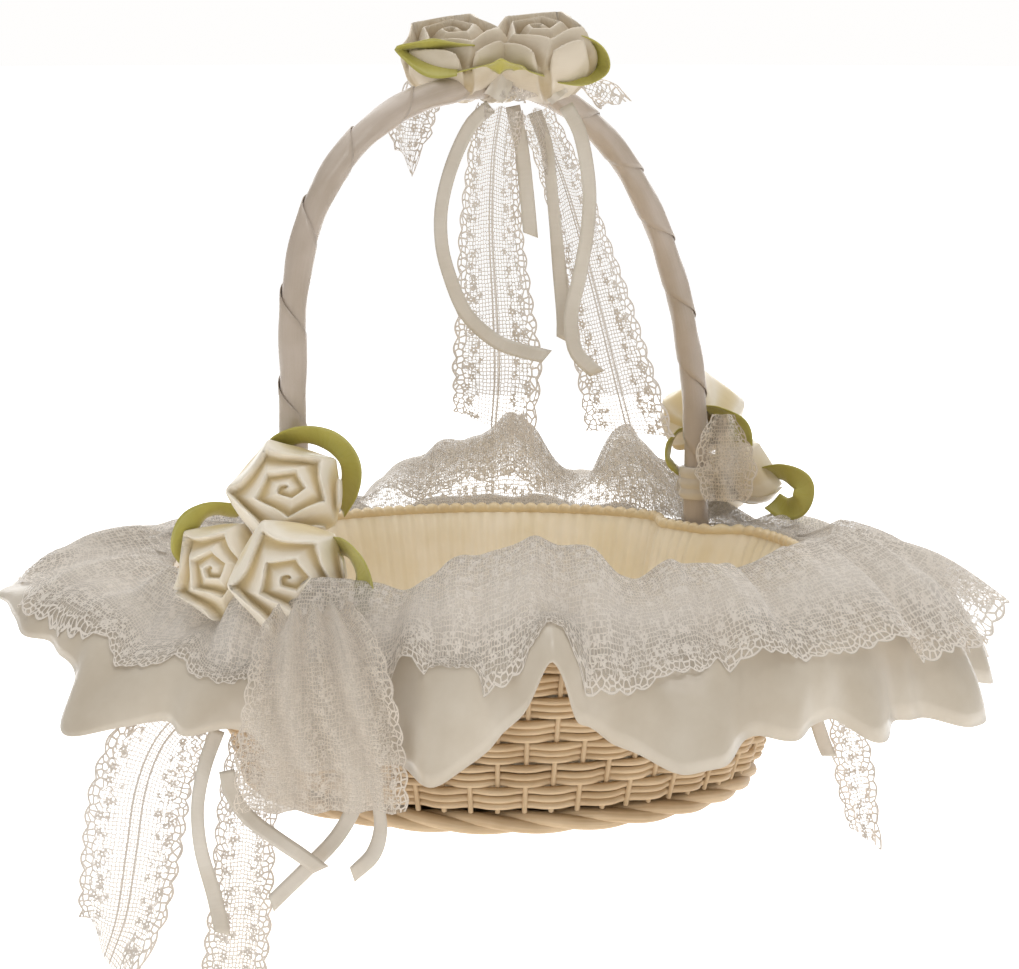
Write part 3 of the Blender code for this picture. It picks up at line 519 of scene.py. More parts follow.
class Mould:
    """Shapes bmesh grids into one piece, with its cloth coordinates and its edge distance."""

    def __init__(self, name: str) -> None:
        """Start an empty piece."""
        self.name = name
        self.mesh = bmesh.new()
        self.cloth = self.mesh.loops.layers.uv.new("cloth")
        self.edge = self.mesh.verts.layers.float.new("edge")

    def grid(
        self,
        surface: Surface,
        columns: int,
        rows: int,
        cloth: Tuple[float, float] = (1.0, 1.0),
        edge: Optional[Callable[[Array, Array], Array]] = None,
        ring: bool = False,
        capped: bool = False,
    ) -> None:
        """Add a grid, and move its vertices on to a surface.

        Args:
            surface: gives the places of the shares along and across.
            columns: how many faces it has along.
            rows: how many faces it has across.
            cloth: length and width of the cloth in metres.
            edge: distance from the shares to the cut edge, in metres.
            ring: whether its two ends meet.
            capped: whether its open sides are closed, as on a rod.
        """
        made = bmesh.ops.create_grid(self.mesh, x_segments=columns, y_segments=rows, size=0.5)
        verts = made["verts"]
        faces = {face for vert in verts for face in vert.link_faces}
        for face in faces:
            face.smooth = True
            for loop in face.loops:
                across, along = loop.vert.co.x + 0.5, loop.vert.co.y + 0.5
                loop[self.cloth].uv = (across * cloth[0], along * cloth[1])
        shares = np.array([vert.co[:2] for vert in verts]) + 0.5
        places = surface(shares[:, 0], shares[:, 1])
        edges = edge(shares[:, 0], shares[:, 1]) if edge else np.full(len(verts), 0.05)
        for vert, place, near in zip(verts, places, edges):
            vert.co = place
            vert[self.edge] = near
        if ring:
            bmesh.ops.remove_doubles(self.mesh, verts=verts, dist=1e-6)
            verts = [vert for vert in verts if vert.is_valid]
        if capped:
            open_edges = [e for vert in verts for e in vert.link_edges if e.is_boundary]
            bmesh.ops.holes_fill(self.mesh, edges=list(set(open_edges)), sides=0)

    def rod(self, line: Array, radius, sides: int, upright: Array, closed: bool = False) -> None:
        """Add a round rod along a line.

        Args:
            line: points of its middle line.
            radius: its radius, or one radius for each point.
            sides: how many faces it has round its section.
            upright: a direction that is never along the line, or one for each point.
            closed: whether its ends meet.
        """
        if closed:
            ahead = np.roll(line, -1, axis=0) - np.roll(line, 1, axis=0)
            line, ahead = np.vstack((line, line[:1])), np.vstack((ahead, ahead[:1]))
            if np.ndim(upright) == 2:
                upright = np.vstack((upright, upright[:1]))
        else:
            ahead = np.gradient(line, axis=0)
        side = unit(np.cross(unit(ahead), upright))
        rise = unit(np.cross(side, unit(ahead)))
        radii = np.broadcast_to(radius, (len(line),))
        last = len(line) - 1

        def surface(u: Array, v: Array) -> Array:
            index = np.rint(v * last).astype(int)
            turn = 2 * math.pi * u
            out = np.cos(turn)[:, None] * side[index] - np.sin(turn)[:, None] * rise[index]
            return line[index] + radii[index][:, None] * out

        cloth = (2 * math.pi * float(radii.mean()), line_length(line))
        self.grid(surface, sides, last, cloth, ring=True, capped=not closed)

    def ribbon(
        self,
        line: Array,
        across: Array,
        width,
        columns: int = 4,
        billow: Optional[Callable[[Array, Array], Array]] = None,
        slant: float = 0.0,
    ) -> None:
        """Add a flat ribbon along a line.

        Args:
            line: points of its middle line.
            across: the direction of its width, or one for each point.
            width: its width, or one width for each point.
            columns: how many faces it has across.
            billow: how far it stands off its own plane at shares across and along.
            slant: how far its far end is cut on the slant, in metres.
        """
        ahead = unit(np.gradient(line, axis=0))
        across = np.broadcast_to(across, line.shape)
        across = unit(across - (across * ahead).sum(axis=1, keepdims=True) * ahead)
        face = np.cross(across, ahead)
        widths = np.broadcast_to(width, (len(line),))
        last = len(line) - 1
        length = line_length(line)

        def surface(u: Array, v: Array) -> Array:
            index = np.rint(v * last).astype(int)
            shift = ((u - 0.5) * widths[index])[:, None]
            place = line[index] + shift * across[index]
            if billow:
                place = place + billow(u, v)[:, None] * face[index]
            pull = slant * (u - 0.5) * np.clip(v * 8 - 7, 0, 1)
            return place + pull[:, None] * ahead[index]

        def edge(u: Array, v: Array) -> Array:
            return np.minimum(u, 1 - u) * float(widths.max())

        self.grid(surface, columns, last, (float(widths.max()), length), edge)

    def area(self) -> float:
        """Area of the faces so far."""
        return sum(face.calc_area() for face in self.mesh.faces)

    def piece(
        self,
        look: bpy.types.Material,
        body: str,
        slot: str,
        stands_for: Sequence[str] = (),
        thickness: float = 0.0,
        outwards: bool = False,
    ) -> bpy.types.Object:
        """Make the piece's object, dress it and hang it on its body.

        Args:
            look: its material.
            body: the body that it rides on.
            slot: the material slot of the record for its finish; not used.
            stands_for: the CAD nodes that it replaces.
            thickness: the thickness of its cloth, or 0 for none.
            outwards: whether its faces are turned outwards, for a closed shape.

        Returns:
            The object.
        """
        if outwards:
            bmesh.ops.recalc_face_normals(self.mesh, faces=self.mesh.faces[:])
        data = bpy.data.meshes.new(self.name)
        self.mesh.to_mesh(data)
        self.mesh.free()
        data.materials.append(look)
        made = bpy.data.objects.new(self.name, data)
        bpy.context.scene.collection.objects.link(made)
        if thickness:
            cloth = made.modifiers.new("cloth", "SOLIDIFY")
            cloth.thickness = thickness
            cloth.offset = 0.0
        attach(made, body)
        if stands_for:
            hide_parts(*stands_for)
        log.info("%s on %s: %d faces", self.name, body, len(data.polygons))
        return made


# ---------------------------------------------------------------- the parts


@dataclass
class WickerBowl:
    """The woven bowl: upright stakes, rows of willow rods woven round them, and a plaited foot."""

    size: Measures
    willow: bpy.types.Material
    plain: bpy.types.Material
    stakes: int = 64
    rows: int = 7
    rods_in_row: int = 3
    rod_radius: float = 0.00168
    stake_radius: float = 0.0011
    swing: float = 0.0017
    stake_top_gap: float = 0.0070
    row_top_gap: float = 0.0082
    row_lift: float = 0.0018
    foot_strands: int = 3
    foot_turns: int = 9
    strand_radius: float = 0.0029
    strand_swing: float = 0.0021
    strand_rise: float = 0.0019

    def build(self) -> None:
        """Build every part of the bowl."""
        self.weave_stakes()
        self.weave_rows()
        self.plait_foot()
        for name in ("base_board", "rim_hoop", "handle_core"):
            node = frame["nodes"][name]
            node.data.materials.clear()
            node.data.materials.append(self.plain)

    def weave_stakes(self) -> None:
        """The upright stakes, which lean outwards with the wall."""
        mould = Mould("wicker_stakes")
        low = self.size.base_z + 2 * self.size.braid_radius
        high = self.size.rim_z - self.stake_top_gap
        levels = np.linspace(low, high, STAKE_SEGMENTS)
        for index in range(self.stakes):
            turn = 2 * math.pi * index / self.stakes
            radii = self.size.wall_radius(levels)
            line = np.stack((radii * math.cos(turn), radii * math.sin(turn), levels), axis=1)
            along_rim = np.array((-math.sin(turn), math.cos(turn), 0.0))
            mould.rod(line, self.stake_radius, 6, along_rim)
        mould.piece(self.willow, "basket", "reed", ["wall_stakes"], outwards=True)

    def weave_rows(self) -> None:
        """Rows of rods, each in front of one stake and behind the next."""
        low = self.size.base_z + 2 * self.size.braid_radius + self.row_lift
        high = self.size.rim_z - self.row_top_gap
        pitch = (high - low) / self.rows
        turns = np.linspace(0, 2 * math.pi, self.stakes * 6, endpoint=False)
        chance = np.random.default_rng(7)
        for row in range(self.rows):
            mould = Mould(f"wicker_row_{row + 1}")
            for rod in range(self.rods_in_row):
                middle = low + pitch * (row + (rod + 0.5) / self.rods_in_row * 0.93)
                wander = 0.00025 * np.sin(3 * turns + chance.uniform(0, 6.28))
                height = middle + wander
                wave = np.cos(turns * self.stakes / 2 + math.pi * row)
                sway = self.swing * np.sign(wave) * np.abs(wave) ** 0.7
                radius = self.size.wall_radius(height) + sway
                line = round_points(radius, turns, height)
                taper = 1 + 0.08 * np.sin(2 * turns + chance.uniform(0, 6.28))
                thick = self.rod_radius * taper
                thick = np.append(thick, thick[0])
                mould.rod(line, thick, 7, UP, closed=True)
            name = f"weaver_row_{row + 1}"
            mould.piece(self.willow, "basket", "wicker", [name], outwards=True)

    def plait_foot(self) -> None:
        """The plaited border round the foot."""
        mould = Mould("wicker_foot")
        turns = np.linspace(0, 2 * math.pi, 540, endpoint=False)
        middle = self.size.base_z + self.size.braid_radius
        for strand in range(self.foot_strands):
            twist = self.foot_turns * turns + 2 * math.pi * strand / self.foot_strands
            radius = self.size.base_radius + self.strand_swing * np.cos(twist)
            height = middle - self.strand_rise * np.sin(twist)
            line = round_points(radius, turns, height)
            mould.rod(line, self.strand_radius, 10, UP, closed=True)
        mould.piece(self.willow, "basket", "wicker", ["base_braid"], outwards=True)


@dataclass
class Handle:
    """The arched handle, with a satin ribbon wound round it in a spiral."""

    size: Measures
    satin: bpy.types.Material
    left_drop: float = 0.100
    right_drop: float = 0.170
    left_power: float = 2.4
    right_power: float = 2.0
    foot_depth: float = 0.008
    ribbon_pitch: float = 0.036
    overlap: float = 1.13
    crease: float = 0.0009

    def side(self, span: float, drop: float, power: float) -> Array:
        """Points from the grip over one shoulder and down its leg to the rim."""
        turn = np.linspace(0, math.pi / 2, 160)
        x = span * np.sin(turn) ** (2 / power)
        z = drop * (np.maximum(np.cos(turn), 0) ** (2 / power) - 1)
        bend = np.stack((x, 0 * x, z), axis=1)
        return np.vstack((bend, [(span, 0, self.size.rim_z)]))

    def middle_line(self) -> Array:
        """The handle's middle line, from the left foot over the grip to the right foot."""
        left = self.side(self.size.left_span, self.left_drop, self.left_power) * (-1, 1, 1)
        right = self.side(self.size.right_span, self.right_drop, self.right_power)
        line = np.vstack((left[:0:-1], right))
        low = np.array((0, 0, -self.foot_depth))
        return even_line(np.vstack((line[:1] + low, line, line[-1:] + low)), 700)

    def build(self) -> None:
        """Wind the ribbon round the handle, each turn over the edge of the one before."""
        line = self.middle_line()
        length = line_length(line)
        ahead = unit(np.gradient(line, axis=0))
        rise = np.broadcast_to((0.0, 1.0, 0.0), line.shape)
        side = unit(np.cross(ahead, rise))
        last = len(line) - 1
        turns = length / self.ribbon_pitch
        inner = self.size.wrap_radius - self.crease

        def surface(u: Array, v: Array) -> Array:
            turn = v * turns
            along = np.clip((turn + (u - 0.5) * self.overlap) * self.ribbon_pitch / length, 0, 1)
            place = along * last
            index = np.clip(place.astype(int), 0, last - 1)
            part = (place - index)[:, None]
            middle = line[index] * (1 - part) + line[index + 1] * part
            angle = 2 * math.pi * turn
            out = np.cos(angle)[:, None] * side[index] + np.sin(angle)[:, None] * rise[index]
            puff = self.crease * u + 0.00025 * np.sin(5 * angle + 9 * u) * np.sin(math.pi * u)
            return middle + (inner - 0.0002 + puff)[:, None] * out

        mould = Mould("handle_ribbon")
        width = self.ribbon_pitch * self.overlap
        mould.grid(surface, 12, int(turns * 26), (width, length * 1.5))
        mould.piece(self.satin, "basket", "handle_ribbon", ["handle_wrap"], thickness=0.0003)


@dataclass
class Pouch:
    """The gathered satin lining, and the narrow elastic hem round its mouth."""

    size: Measures
    satin: bpy.types.Material
    hem: bpy.types.Material
    hem_height: float = 0.0042
    hoop: float = 0.0030
    cloth: float = 0.0009
    hem_cloth: float = 0.0012
    inset: float = 0.0265
    neck: float = 0.06
    curl: float = 0.68
    wall_half: float = 0.0038
    pleats: int = 130

    def mouth_radius(self) -> float:
        """Radius of the mouth, inside the hoop."""
        return self.size.rim_radius - self.hoop - 0.0003 - self.cloth

    def dodge(self, turn: Array) -> Array:
        """How far the cloth is pressed inwards where a leg of the handle stands."""
        depth = np.zeros_like(turn)
        mouth = self.mouth_radius()
        for middle, span in ((0.0, self.size.right_span), (math.pi, self.size.left_span)):
            away = np.abs((turn - middle + math.pi) % (2 * math.pi) - math.pi)
            need = mouth + self.hem_cloth + self.cloth - (span - self.size.wrap_radius - 0.0006)
            depth = depth + 1.12 * need / (1 + (away * mouth / 0.020) ** 6)
        return depth

    def build(self) -> None:
        """Build the lining and its hem."""
        top = self.size.rim_z + self.hem_height
        floor = self.size.base_z + 0.0040 + self.size.braid_radius
        mouth = self.mouth_radius()
        slope = mouth - float(self.size.wall_radius(self.size.rim_z))
        end = self.size.base_radius - self.inset

        def surface(u: Array, v: Array) -> Array:
            turn = 2 * math.pi * u
            share = v**0.8
            height = top + (floor - top) * np.minimum(share * 1.1, 1.0)
            near = np.minimum(share / self.neck, 1.0)
            curl = np.clip((share - self.curl) / (1 - self.curl), 0, 1)
            limit = self.size.wall_radius(np.minimum(height, self.size.rim_z))
            limit = limit + (1 - near) * slope - near * (self.wall_half + 0.0015)
            reach = limit + (end - limit) * curl**2
            reach = np.where(share > 0.93, reach * (1 - (share - 0.93) / 0.07), reach)
            gather = np.sin(self.pleats * turn + 1.5 * np.sin(7 * turn)) * (1 - 0.5 * v)
            broad = np.sin(31 * turn + 2 * v) * v
            reach = reach - (1 - curl) * self.dodge(turn)
            reach = reach - (1 - curl) * near * (0.0007 * (1 + gather) + 0.0012 * (1 + broad))
            return round_points(reach, turn, height)

        mould = Mould("pouch_lining")
        around = 2 * math.pi * mouth
        mould.grid(surface, 780, 26, (around * 1.8, 0.16), ring=True)
        flat = (around * 1.15, mould.area() / around)
        # The lining takes the cream satin's slot, but its satin is a lighter copy of it: painted
        # light where the bowl shades it.
        made = mould.piece(self.satin, "basket", "cream_satin", ["lining"])

        turns = np.linspace(0, 2 * math.pi, 900, endpoint=False)
        ripple = np.sin(150 * turns + np.sin(11 * turns))
        reach = mouth + self.hem_cloth / 2 - self.dodge(turns)
        height = top + 0.0003 * ripple
        line = round_points(reach, turns, height)
        thick = 0.0022 + 0.0003 * ripple
        hem = Mould("pouch_hem")
        hem.rod(line, np.append(thick, thick[0]), 10, UP, closed=True)
        hem.piece(self.hem, "basket", "hem_satin", ["rim_elastic"], outwards=True)


# Where the satin's hem hangs: angle, reach beyond the rim, height above the rim, arch.
SATIN_HEM = (
    (0, 0.0625, -0.0360, -0.008), (12, 0.0585, -0.0360, -0.008), (30, 0.0565, -0.0300, 0.006),
    (45, 0.0565, -0.0300, 0.008), (90, 0.0600, -0.0300, 0.000), (125, 0.0700, -0.0200, 0.005),
    (140, 0.0740, -0.0070, 0.006), (149, 0.0710, -0.0130, 0.004), (156.5, 0.0652, -0.0207, 0.002),
    (161, 0.0636, -0.0260, 0.000), (163, 0.0616, -0.0300, -0.002),
    (178.5, 0.0475, -0.0390, -0.008), (186.3, 0.0410, -0.0400, -0.008),
    (198.4, 0.0309, -0.0499, -0.008), (210.2, 0.0315, -0.0520, 0.002),
    (217.6, 0.0330, -0.0462, 0.008), (224.3, 0.0343, -0.0412, 0.012),
    (226.9, 0.0352, -0.0309, 0.012), (228.8, 0.0359, -0.0224, 0.012),
    (230.2, 0.0364, -0.0121, 0.012), (231.8, 0.0370, -0.0014, 0.012),
    (233.8, 0.0378, -0.0136, 0.012), (234.9, 0.0382, -0.0308, 0.012),
    (239.7, 0.0400, -0.0403, 0.012), (247.9, 0.0431, -0.0392, 0.012),
    (257.3, 0.0467, -0.0397, 0.012), (260.8, 0.0480, -0.0403, 0.012),
    (269.9, 0.0515, -0.0374, 0.012), (274.9, 0.0537, -0.0455, 0.012),
    (282.5, 0.0571, -0.0477, 0.011), (289.2, 0.0601, -0.0486, 0.010),
    (305.3, 0.0672, -0.0440, 0.009), (315, 0.0715, -0.0400, 0.008), (340, 0.0665, -0.0360, 0.002),
)
# Where the lace's hem hangs: angle, reach beyond the rim, height above the rim.
LACE_HEM = (
    (0, 0.0565, -0.0290), (12, 0.0505, -0.0240), (30, 0.0385, 0.0060), (45, 0.0365, 0.0100),
    (70, 0.0445, -0.0020), (90, 0.0500, -0.0150), (135, 0.0680, -0.0090), (150, 0.0630, -0.0120),
    (160.6, 0.0560, -0.0203), (167.2, 0.0498, -0.0390), (172, 0.0453, -0.0326),
    (176.1, 0.0416, -0.0354), (184.4, 0.0350, -0.0380), (200, 0.0245, -0.0400),
    (206, 0.0248, -0.0330), (209.6, 0.0255, -0.0188), (211.9, 0.0263, -0.0041),
    (217.1, 0.0280, -0.0180), (221.8, 0.0295, -0.0217), (226.3, 0.0311, -0.0191),
    (229.3, 0.0324, -0.0051), (235.7, 0.0353, -0.0164), (240, 0.0372, -0.0205),
    (244.4, 0.0392, -0.0169), (250.7, 0.0419, -0.0109), (258.4, 0.0454, -0.0086),
    (263.9, 0.0478, -0.0073), (271.1, 0.0512, -0.0081), (279.7, 0.0567, -0.0117),
    (289.8, 0.0633, -0.0194), (305.8, 0.0736, -0.0231), (318, 0.0760, -0.0180),
    (340, 0.0665, -0.0220),
)
# How high the lace stands before it turns down: angle, height above the rim.
LACE_CREST = (
    (0, 0.006), (13.8, 0.0312), (21.6, 0.0376), (25.2, 0.0366), (28.7, 0.0170), (34.1, 0.0192),
    (38.2, 0.0406), (43.6, 0.0451), (47.2, 0.0414), (57.5, 0.0267), (66.8, 0.0130), (90, 0.0090),
    (135, 0.0120), (160, 0.0100), (185, 0.0120), (201.7, 0.0197), (210.4, 0.0191),
    (215.2, 0.0242), (223.8, 0.0322), (230.9, 0.0386), (238.3, 0.0335), (242, 0.0273),
    (247.5, 0.0218), (251.1, 0.0261), (257.5, 0.0223), (269.3, 0.0221), (279.6, 0.0265),
    (300, 0.0200), (330, 0.0100),
)


@dataclass
class Flounces:
    """The satin flounce round the mouth, and the lace flounce that stands over it."""

    size: Measures
    satin: bpy.types.Material
    lace: bpy.types.Material
    start_beyond: float = 0.0022
    start_above: float = 0.0021
    crest_beyond: float = 0.0125
    stand_off: float = 0.0016
    columns: int = 900
    rows: int = 26
    satin_depth: float = 0.075
    lace_depth: float = 0.095
    waves: Sequence[Tuple[int, float, float, float]] = field(
        default_factory=lambda: (
            (5, 0.5, 0.6, 1.5), (9, 0.9, 0.6, 2.0), (14, 1.0, 2.2, -1.6), (23, 0.9, 4.0, 1.8),
            (31, 0.45, 1.1, -1.2),
        )
    )
    ruffles: Sequence[Tuple[int, float, float, float]] = field(
        default_factory=lambda: (
            (11, 0.7, 1.0, 1.0), (20, 1.0, 2.0, -1.2), (33, 0.8, 0.3, 0.9), (57, 0.25, 4.4, -0.5),
        )
    )

    def folds(self, plan: Sequence, turn: Array, share: Array) -> Array:
        """Soft folds at angles and at shares of the way to the hem, from about -1 to 1."""
        total = np.zeros_like(turn)
        for count, height, start, lean in plan:
            wave = np.sin(count * turn + start + lean * share)
            total = total + height * (wave + 0.22 * np.sin(2 * (count * turn + start)))
        return total / 2.2

    def satin_profile(self, turn: Array, share: Array) -> Tuple[Array, Array]:
        """Radius and height of the satin at angles and at shares of the way to its hem."""
        beyond = ring_table(SATIN_HEM, 1)(turn)
        hem = ring_table(SATIN_HEM, 2, 1.0)(turn)
        arch = ring_table(SATIN_HEM, 3, 4.0)(turn)
        start = self.size.rim_radius + self.start_beyond
        reach = self.size.rim_radius + beyond
        steps = reach - start
        base = self.size.rim_z + self.start_above
        corners = (
            (start, base),
            (start + 0.25 * steps, base + arch),
            (reach - 0.12 * steps, base + arch * 0.9),
            (reach, self.size.rim_z + hem),
        )
        back = 1 - share
        weights = (back**3, 3 * back**2 * share, 3 * back * share**2, share**3)
        radius = sum(w * corner[0] for w, corner in zip(weights, corners))
        height = sum(w * corner[1] for w, corner in zip(weights, corners))
        deep = self.folds(self.waves, turn, share)
        calm = 1 - 0.75 * np.exp(-(((np.degrees(turn) % 360) - 231.8) / 5.0) ** 2)
        radius = radius - 0.0095 * deep * share**1.5 * calm
        height = height + 0.0115 * deep * share * calm * (1 - 0.5 * share**4)
        gather = 0.0006 * np.sin(140 * turn) * np.exp(-share * 7)
        return radius, height + gather

    def lace_profile(self, turn: Array, share: Array) -> Tuple[Array, Array]:
        """Radius and height of the lace at angles and at shares of the way to its hem."""
        beyond = ring_table(LACE_HEM, 1)(turn)
        hem = ring_table(LACE_HEM, 2, 1.2)(turn)
        crest = ring_table(LACE_CREST, 1, 1.5)(turn)
        rim, top = self.size.rim_radius, self.size.rim_z
        start = rim + self.start_beyond
        peak = rim + self.crest_beyond
        reach = rim + beyond
        stops = (
            (start - 0.002 + 0 * turn, top - 0.010 + 0 * turn),
            (start + 0 * turn, top + self.start_above + 0.0015 + 0 * turn),
            (start + 0.45 * (peak - start) + 0 * turn, top + 0.72 * crest),
            (peak + 0 * turn, top + crest),
            (peak + 0.5 * (reach - peak), top + 0.55 * crest + 0.45 * hem + 0.004),
            (reach, top + hem),
            (reach + 0.3 * (reach - peak), top + hem - 0.012),
        )
        cut = np.clip(share, 0, 0.9999) * 4
        leg = cut.astype(int)
        t = cut - leg
        radius = np.zeros_like(turn)
        height = np.zeros_like(turn)
        for index in range(4):
            here = leg == index
            for part, found in ((0, radius), (1, height)):
                near = (stops[index + step][part][here] for step in range(4))
                found[here] = between(*near, t[here])
        deep = self.folds(self.ruffles, turn, 3 * share)
        swell = np.clip(share * 2.2, 0, 1)
        radius = radius + 0.0048 * deep * swell
        height = height + 0.0042 * deep * swell * (0.4 + share)
        return radius, height

    def lace_over_satin(self, turn: Array, share: Array) -> Tuple[Array, Array]:
        """The lace's profile, lifted where the satin below it comes closer than their gap."""
        radius, height = self.lace_profile(turn, share)
        steps = np.linspace(0, 1, 30)
        lowest = np.full_like(height, -1.0)
        for before, after in zip(steps[:-1], steps[1:]):
            r0, z0 = self.satin_profile(turn, np.full_like(turn, before))
            r1, z1 = self.satin_profile(turn, np.full_like(turn, after))
            part = np.clip((radius - r0) / np.maximum(r1 - r0, 1e-6), 0, 1)
            near = (radius >= r0 - 0.0006) & (radius <= r1 + 0.0006)
            lowest = np.where(near, np.maximum(lowest, z0 + (z1 - z0) * part), lowest)
        gap = self.stand_off * np.clip(share * 8, 0.3, 1)
        return radius, np.maximum(height, lowest + gap)

    def skirt(
        self,
        name: str,
        profile: Callable[[Array, Array], Tuple[Array, Array]],
        depth: float,
    ) -> Tuple[Mould, float]:
        """A closed skirt of cloth from a profile, and the length of its hem."""
        turns = np.linspace(0, 2 * math.pi, self.columns + 1)
        radius, height = profile(turns, np.ones_like(turns))
        hem = line_length(round_points(radius, turns, height))

        def surface(u: Array, v: Array) -> Array:
            turn = 2 * math.pi * u
            reach, level = profile(turn, 1 - v)
            return round_points(reach, turn, level)

        mould = Mould(name)
        cloth = (hem, depth)
        mould.grid(surface, self.columns, self.rows, cloth, lambda u, v: v * depth, ring=True)
        return mould, hem

    def build(self) -> None:
        """Build both flounces."""
        mould, hem = self.skirt("satin_skirt", self.satin_profile, self.satin_depth)
        depth = mould.area() / hem * 1.15
        made = mould.piece(self.satin, "basket", "cream_satin", ["satin_flounce"], thickness=0.0004)
        mould, hem = self.skirt("lace_skirt", self.lace_over_satin, self.lace_depth)
        depth = mould.area() / hem * 1.15
        made = mould.piece(self.lace, "basket", "lace", ["lace_flounce"])


class Cluster(Enum):
    """The places where trims are tied."""

    LEFT = "left"
    RIGHT = "right"
    CROWN = "crown"


class Facing(Enum):
    """The ways that roses look: to the right, to the front and up."""

    FRONT = (0.0, 1.0, 0.1)
    UP_FRONT = (0.0, 1.0, 0.4)
    UPWARDS = (-0.1, 0.45, 1.0)
    LEFT_FRONT = (-0.5, 0.9, 0.2)
    BACK = (0.2, -1.0, 0.1)
    UP_BACK = (-0.2, -1.0, 0.4)
    RIGHT_UP = (1.0, -0.3, 0.6)


@dataclass(frozen=True)
class Rose:
    """A rose rolled from wide satin ribbon."""

    name: str
    cluster: Cluster
    place: Triple
    facing: Facing
    radius: float
    depth: float
    stretch: float = 1.0
    wraps: float = 2.8

    def basis(self) -> Tuple[Array, Array, Array]:
        """Directions to its right, up its face and out of its face."""
        out = unit(spot(*self.facing.value))
        right = unit(np.cross(UP, out))
        return right, np.cross(out, right), out

    def build(self, anchor: Array, satin: bpy.types.Material) -> bpy.types.Object:
        """Roll the rose from the heart outwards, each wrap folded over at its edge.

        Args:
            anchor: what its place is counted from.
            satin: its material.

        Returns:
            The rose's object.
        """
        right, up, out = self.basis()
        middle = anchor + spot(*self.place) - out * self.depth * 0.5
        start = sum(self.place) * 400 % 6.28

        def corners(turn: Array, face: Array) -> Array:
            fold = 2 * math.pi / 5
            side = (turn + start + 0.9 * face) % fold - fold / 2
            flat_sided = np.cos(side) / math.cos(fold / 2)
            return 1 + (flat_sided - 1.08) * np.clip(face * 3, 0, 1)

        def ridges(u: Array, v: Array) -> Array:
            turn = 2 * math.pi * u
            face = np.clip(v / 0.78, 0, 1)
            wobble = 0.06 * np.sin(2 * turn + start) + 0.05 * np.sin(3 * turn + 2 * start)
            inward = np.clip(face * corners(turn, face), 0, 2) ** 0.85
            step = (self.wraps * inward - u + wobble * face) % 1.0
            ridge = np.where(step < 0.10, step / 0.10, 1 - ((step - 0.10) / 0.90) ** 0.9)
            return ridge * ridge * (3 - 2 * ridge)

        def surface(u: Array, v: Array) -> Array:
            turn = 2 * math.pi * u
            face = np.clip(v / 0.78, 0, 1)
            back = np.clip((v - 0.78) / 0.22, 0, 1)
            outer = face**2
            five = 9 * (1 / corners(turn, np.ones_like(turn)) - 1)
            ridge = ridges(u, v)
            dome = 1 - 0.42 * face**1.8
            level = self.depth * (dome - 0.30 + (0.20 + 0.30 * face) * ridge * (1 - back))
            level = level - self.depth * 1.05 * back**1.2
            bulge = 1 + 0.06 * outer * five + 0.10 * np.sin(back * math.pi) - 0.45 * back**2
            reach = self.radius * face * bulge * (1 + 0.05 * ridge)
            squash = 1 - 0.26 * (1 - face)
            flat = reach[:, None] * (
                self.stretch * np.cos(turn)[:, None] * right + (squash * np.sin(turn))[:, None] * up
            )
            return middle + flat + level[:, None] * out

        mould = Mould(f"{self.name}_petals")
        # The ridge heights go into the edge layer, from which the satin paints shade in the valleys
        # between the wraps.
        mould.grid(surface, 120, 84, (self.radius * 6.3, self.radius * 3), ridges, ring=True)
        made = mould.piece(satin, "basket", "rose_satin", [self.name], outwards=True)
        return made


@dataclass(frozen=True)
class Loop:
    """A loop of green satin ribbon, given by stops that its middle line goes through."""

    name: str
    cluster: Cluster
    stops: Sequence[Triple]
    lean: float = 60.0
    width: float = 0.010

    def build(self, anchor: Array, satin: bpy.types.Material) -> bpy.types.Object:
        """Bend the loop, its face leaning out from its own plane."""
        line = smooth_line(route(self.stops, anchor), 60)
        centre = line.mean(axis=0)
        front = spot(0, 1, 0)
        outward = line - centre
        outward = unit(outward - (outward @ front)[:, None] * front)
        turn = math.radians(self.lean)
        across = math.cos(turn) * front + math.sin(turn) * outward
        mould = Mould(f"{self.name}_satin")
        mould.ribbon(line, across, self.width, 6, lambda u, v: 0.0008 * np.cos(math.pi * (u - 0.5)))
        made = mould.piece(satin, "basket", "green_satin", [self.name], thickness=0.0003)
        return made


# Each rose: its cluster, its place from the anchor, the way it looks, its radius and its depth.
ROSES = (
    Rose(
        "left_rose_top", Cluster.LEFT, (-0.0012, 0.0232, 0.0495),
        Facing.UP_FRONT, 0.0195, 0.0135, 1.08,
    ),
    Rose("left_rose_front", Cluster.LEFT, (0.0008, 0.0422, 0.0188), Facing.FRONT, 0.0215, 0.0145),
    Rose(
        "left_rose_side", Cluster.LEFT, (-0.0285, 0.0237, 0.0185),
        Facing.LEFT_FRONT, 0.0185, 0.0120,
    ),
    Rose(
        "right_rose_back", Cluster.RIGHT, (0.0030, -0.0310, 0.0500),
        Facing.UP_BACK, 0.0180, 0.0125,
    ),
    Rose(
        "right_rose_side", Cluster.RIGHT, (0.0260, -0.0100, 0.0290),
        Facing.RIGHT_UP, 0.0170, 0.0115,
    ),
    Rose("right_rose_low", Cluster.RIGHT, (0.0090, -0.0370, 0.0165), Facing.BACK, 0.0150, 0.0110),
    Rose(
        "crown_rose_left", Cluster.CROWN, (-0.0175, 0.0080, 0.0165),
        Facing.UPWARDS, 0.0185, 0.0170, 1.20,
    ),
    Rose(
        "crown_rose_right", Cluster.CROWN, (0.0175, 0.0070, 0.0175),
        Facing.UPWARDS, 0.0185, 0.0180, 1.15,
    ),
)

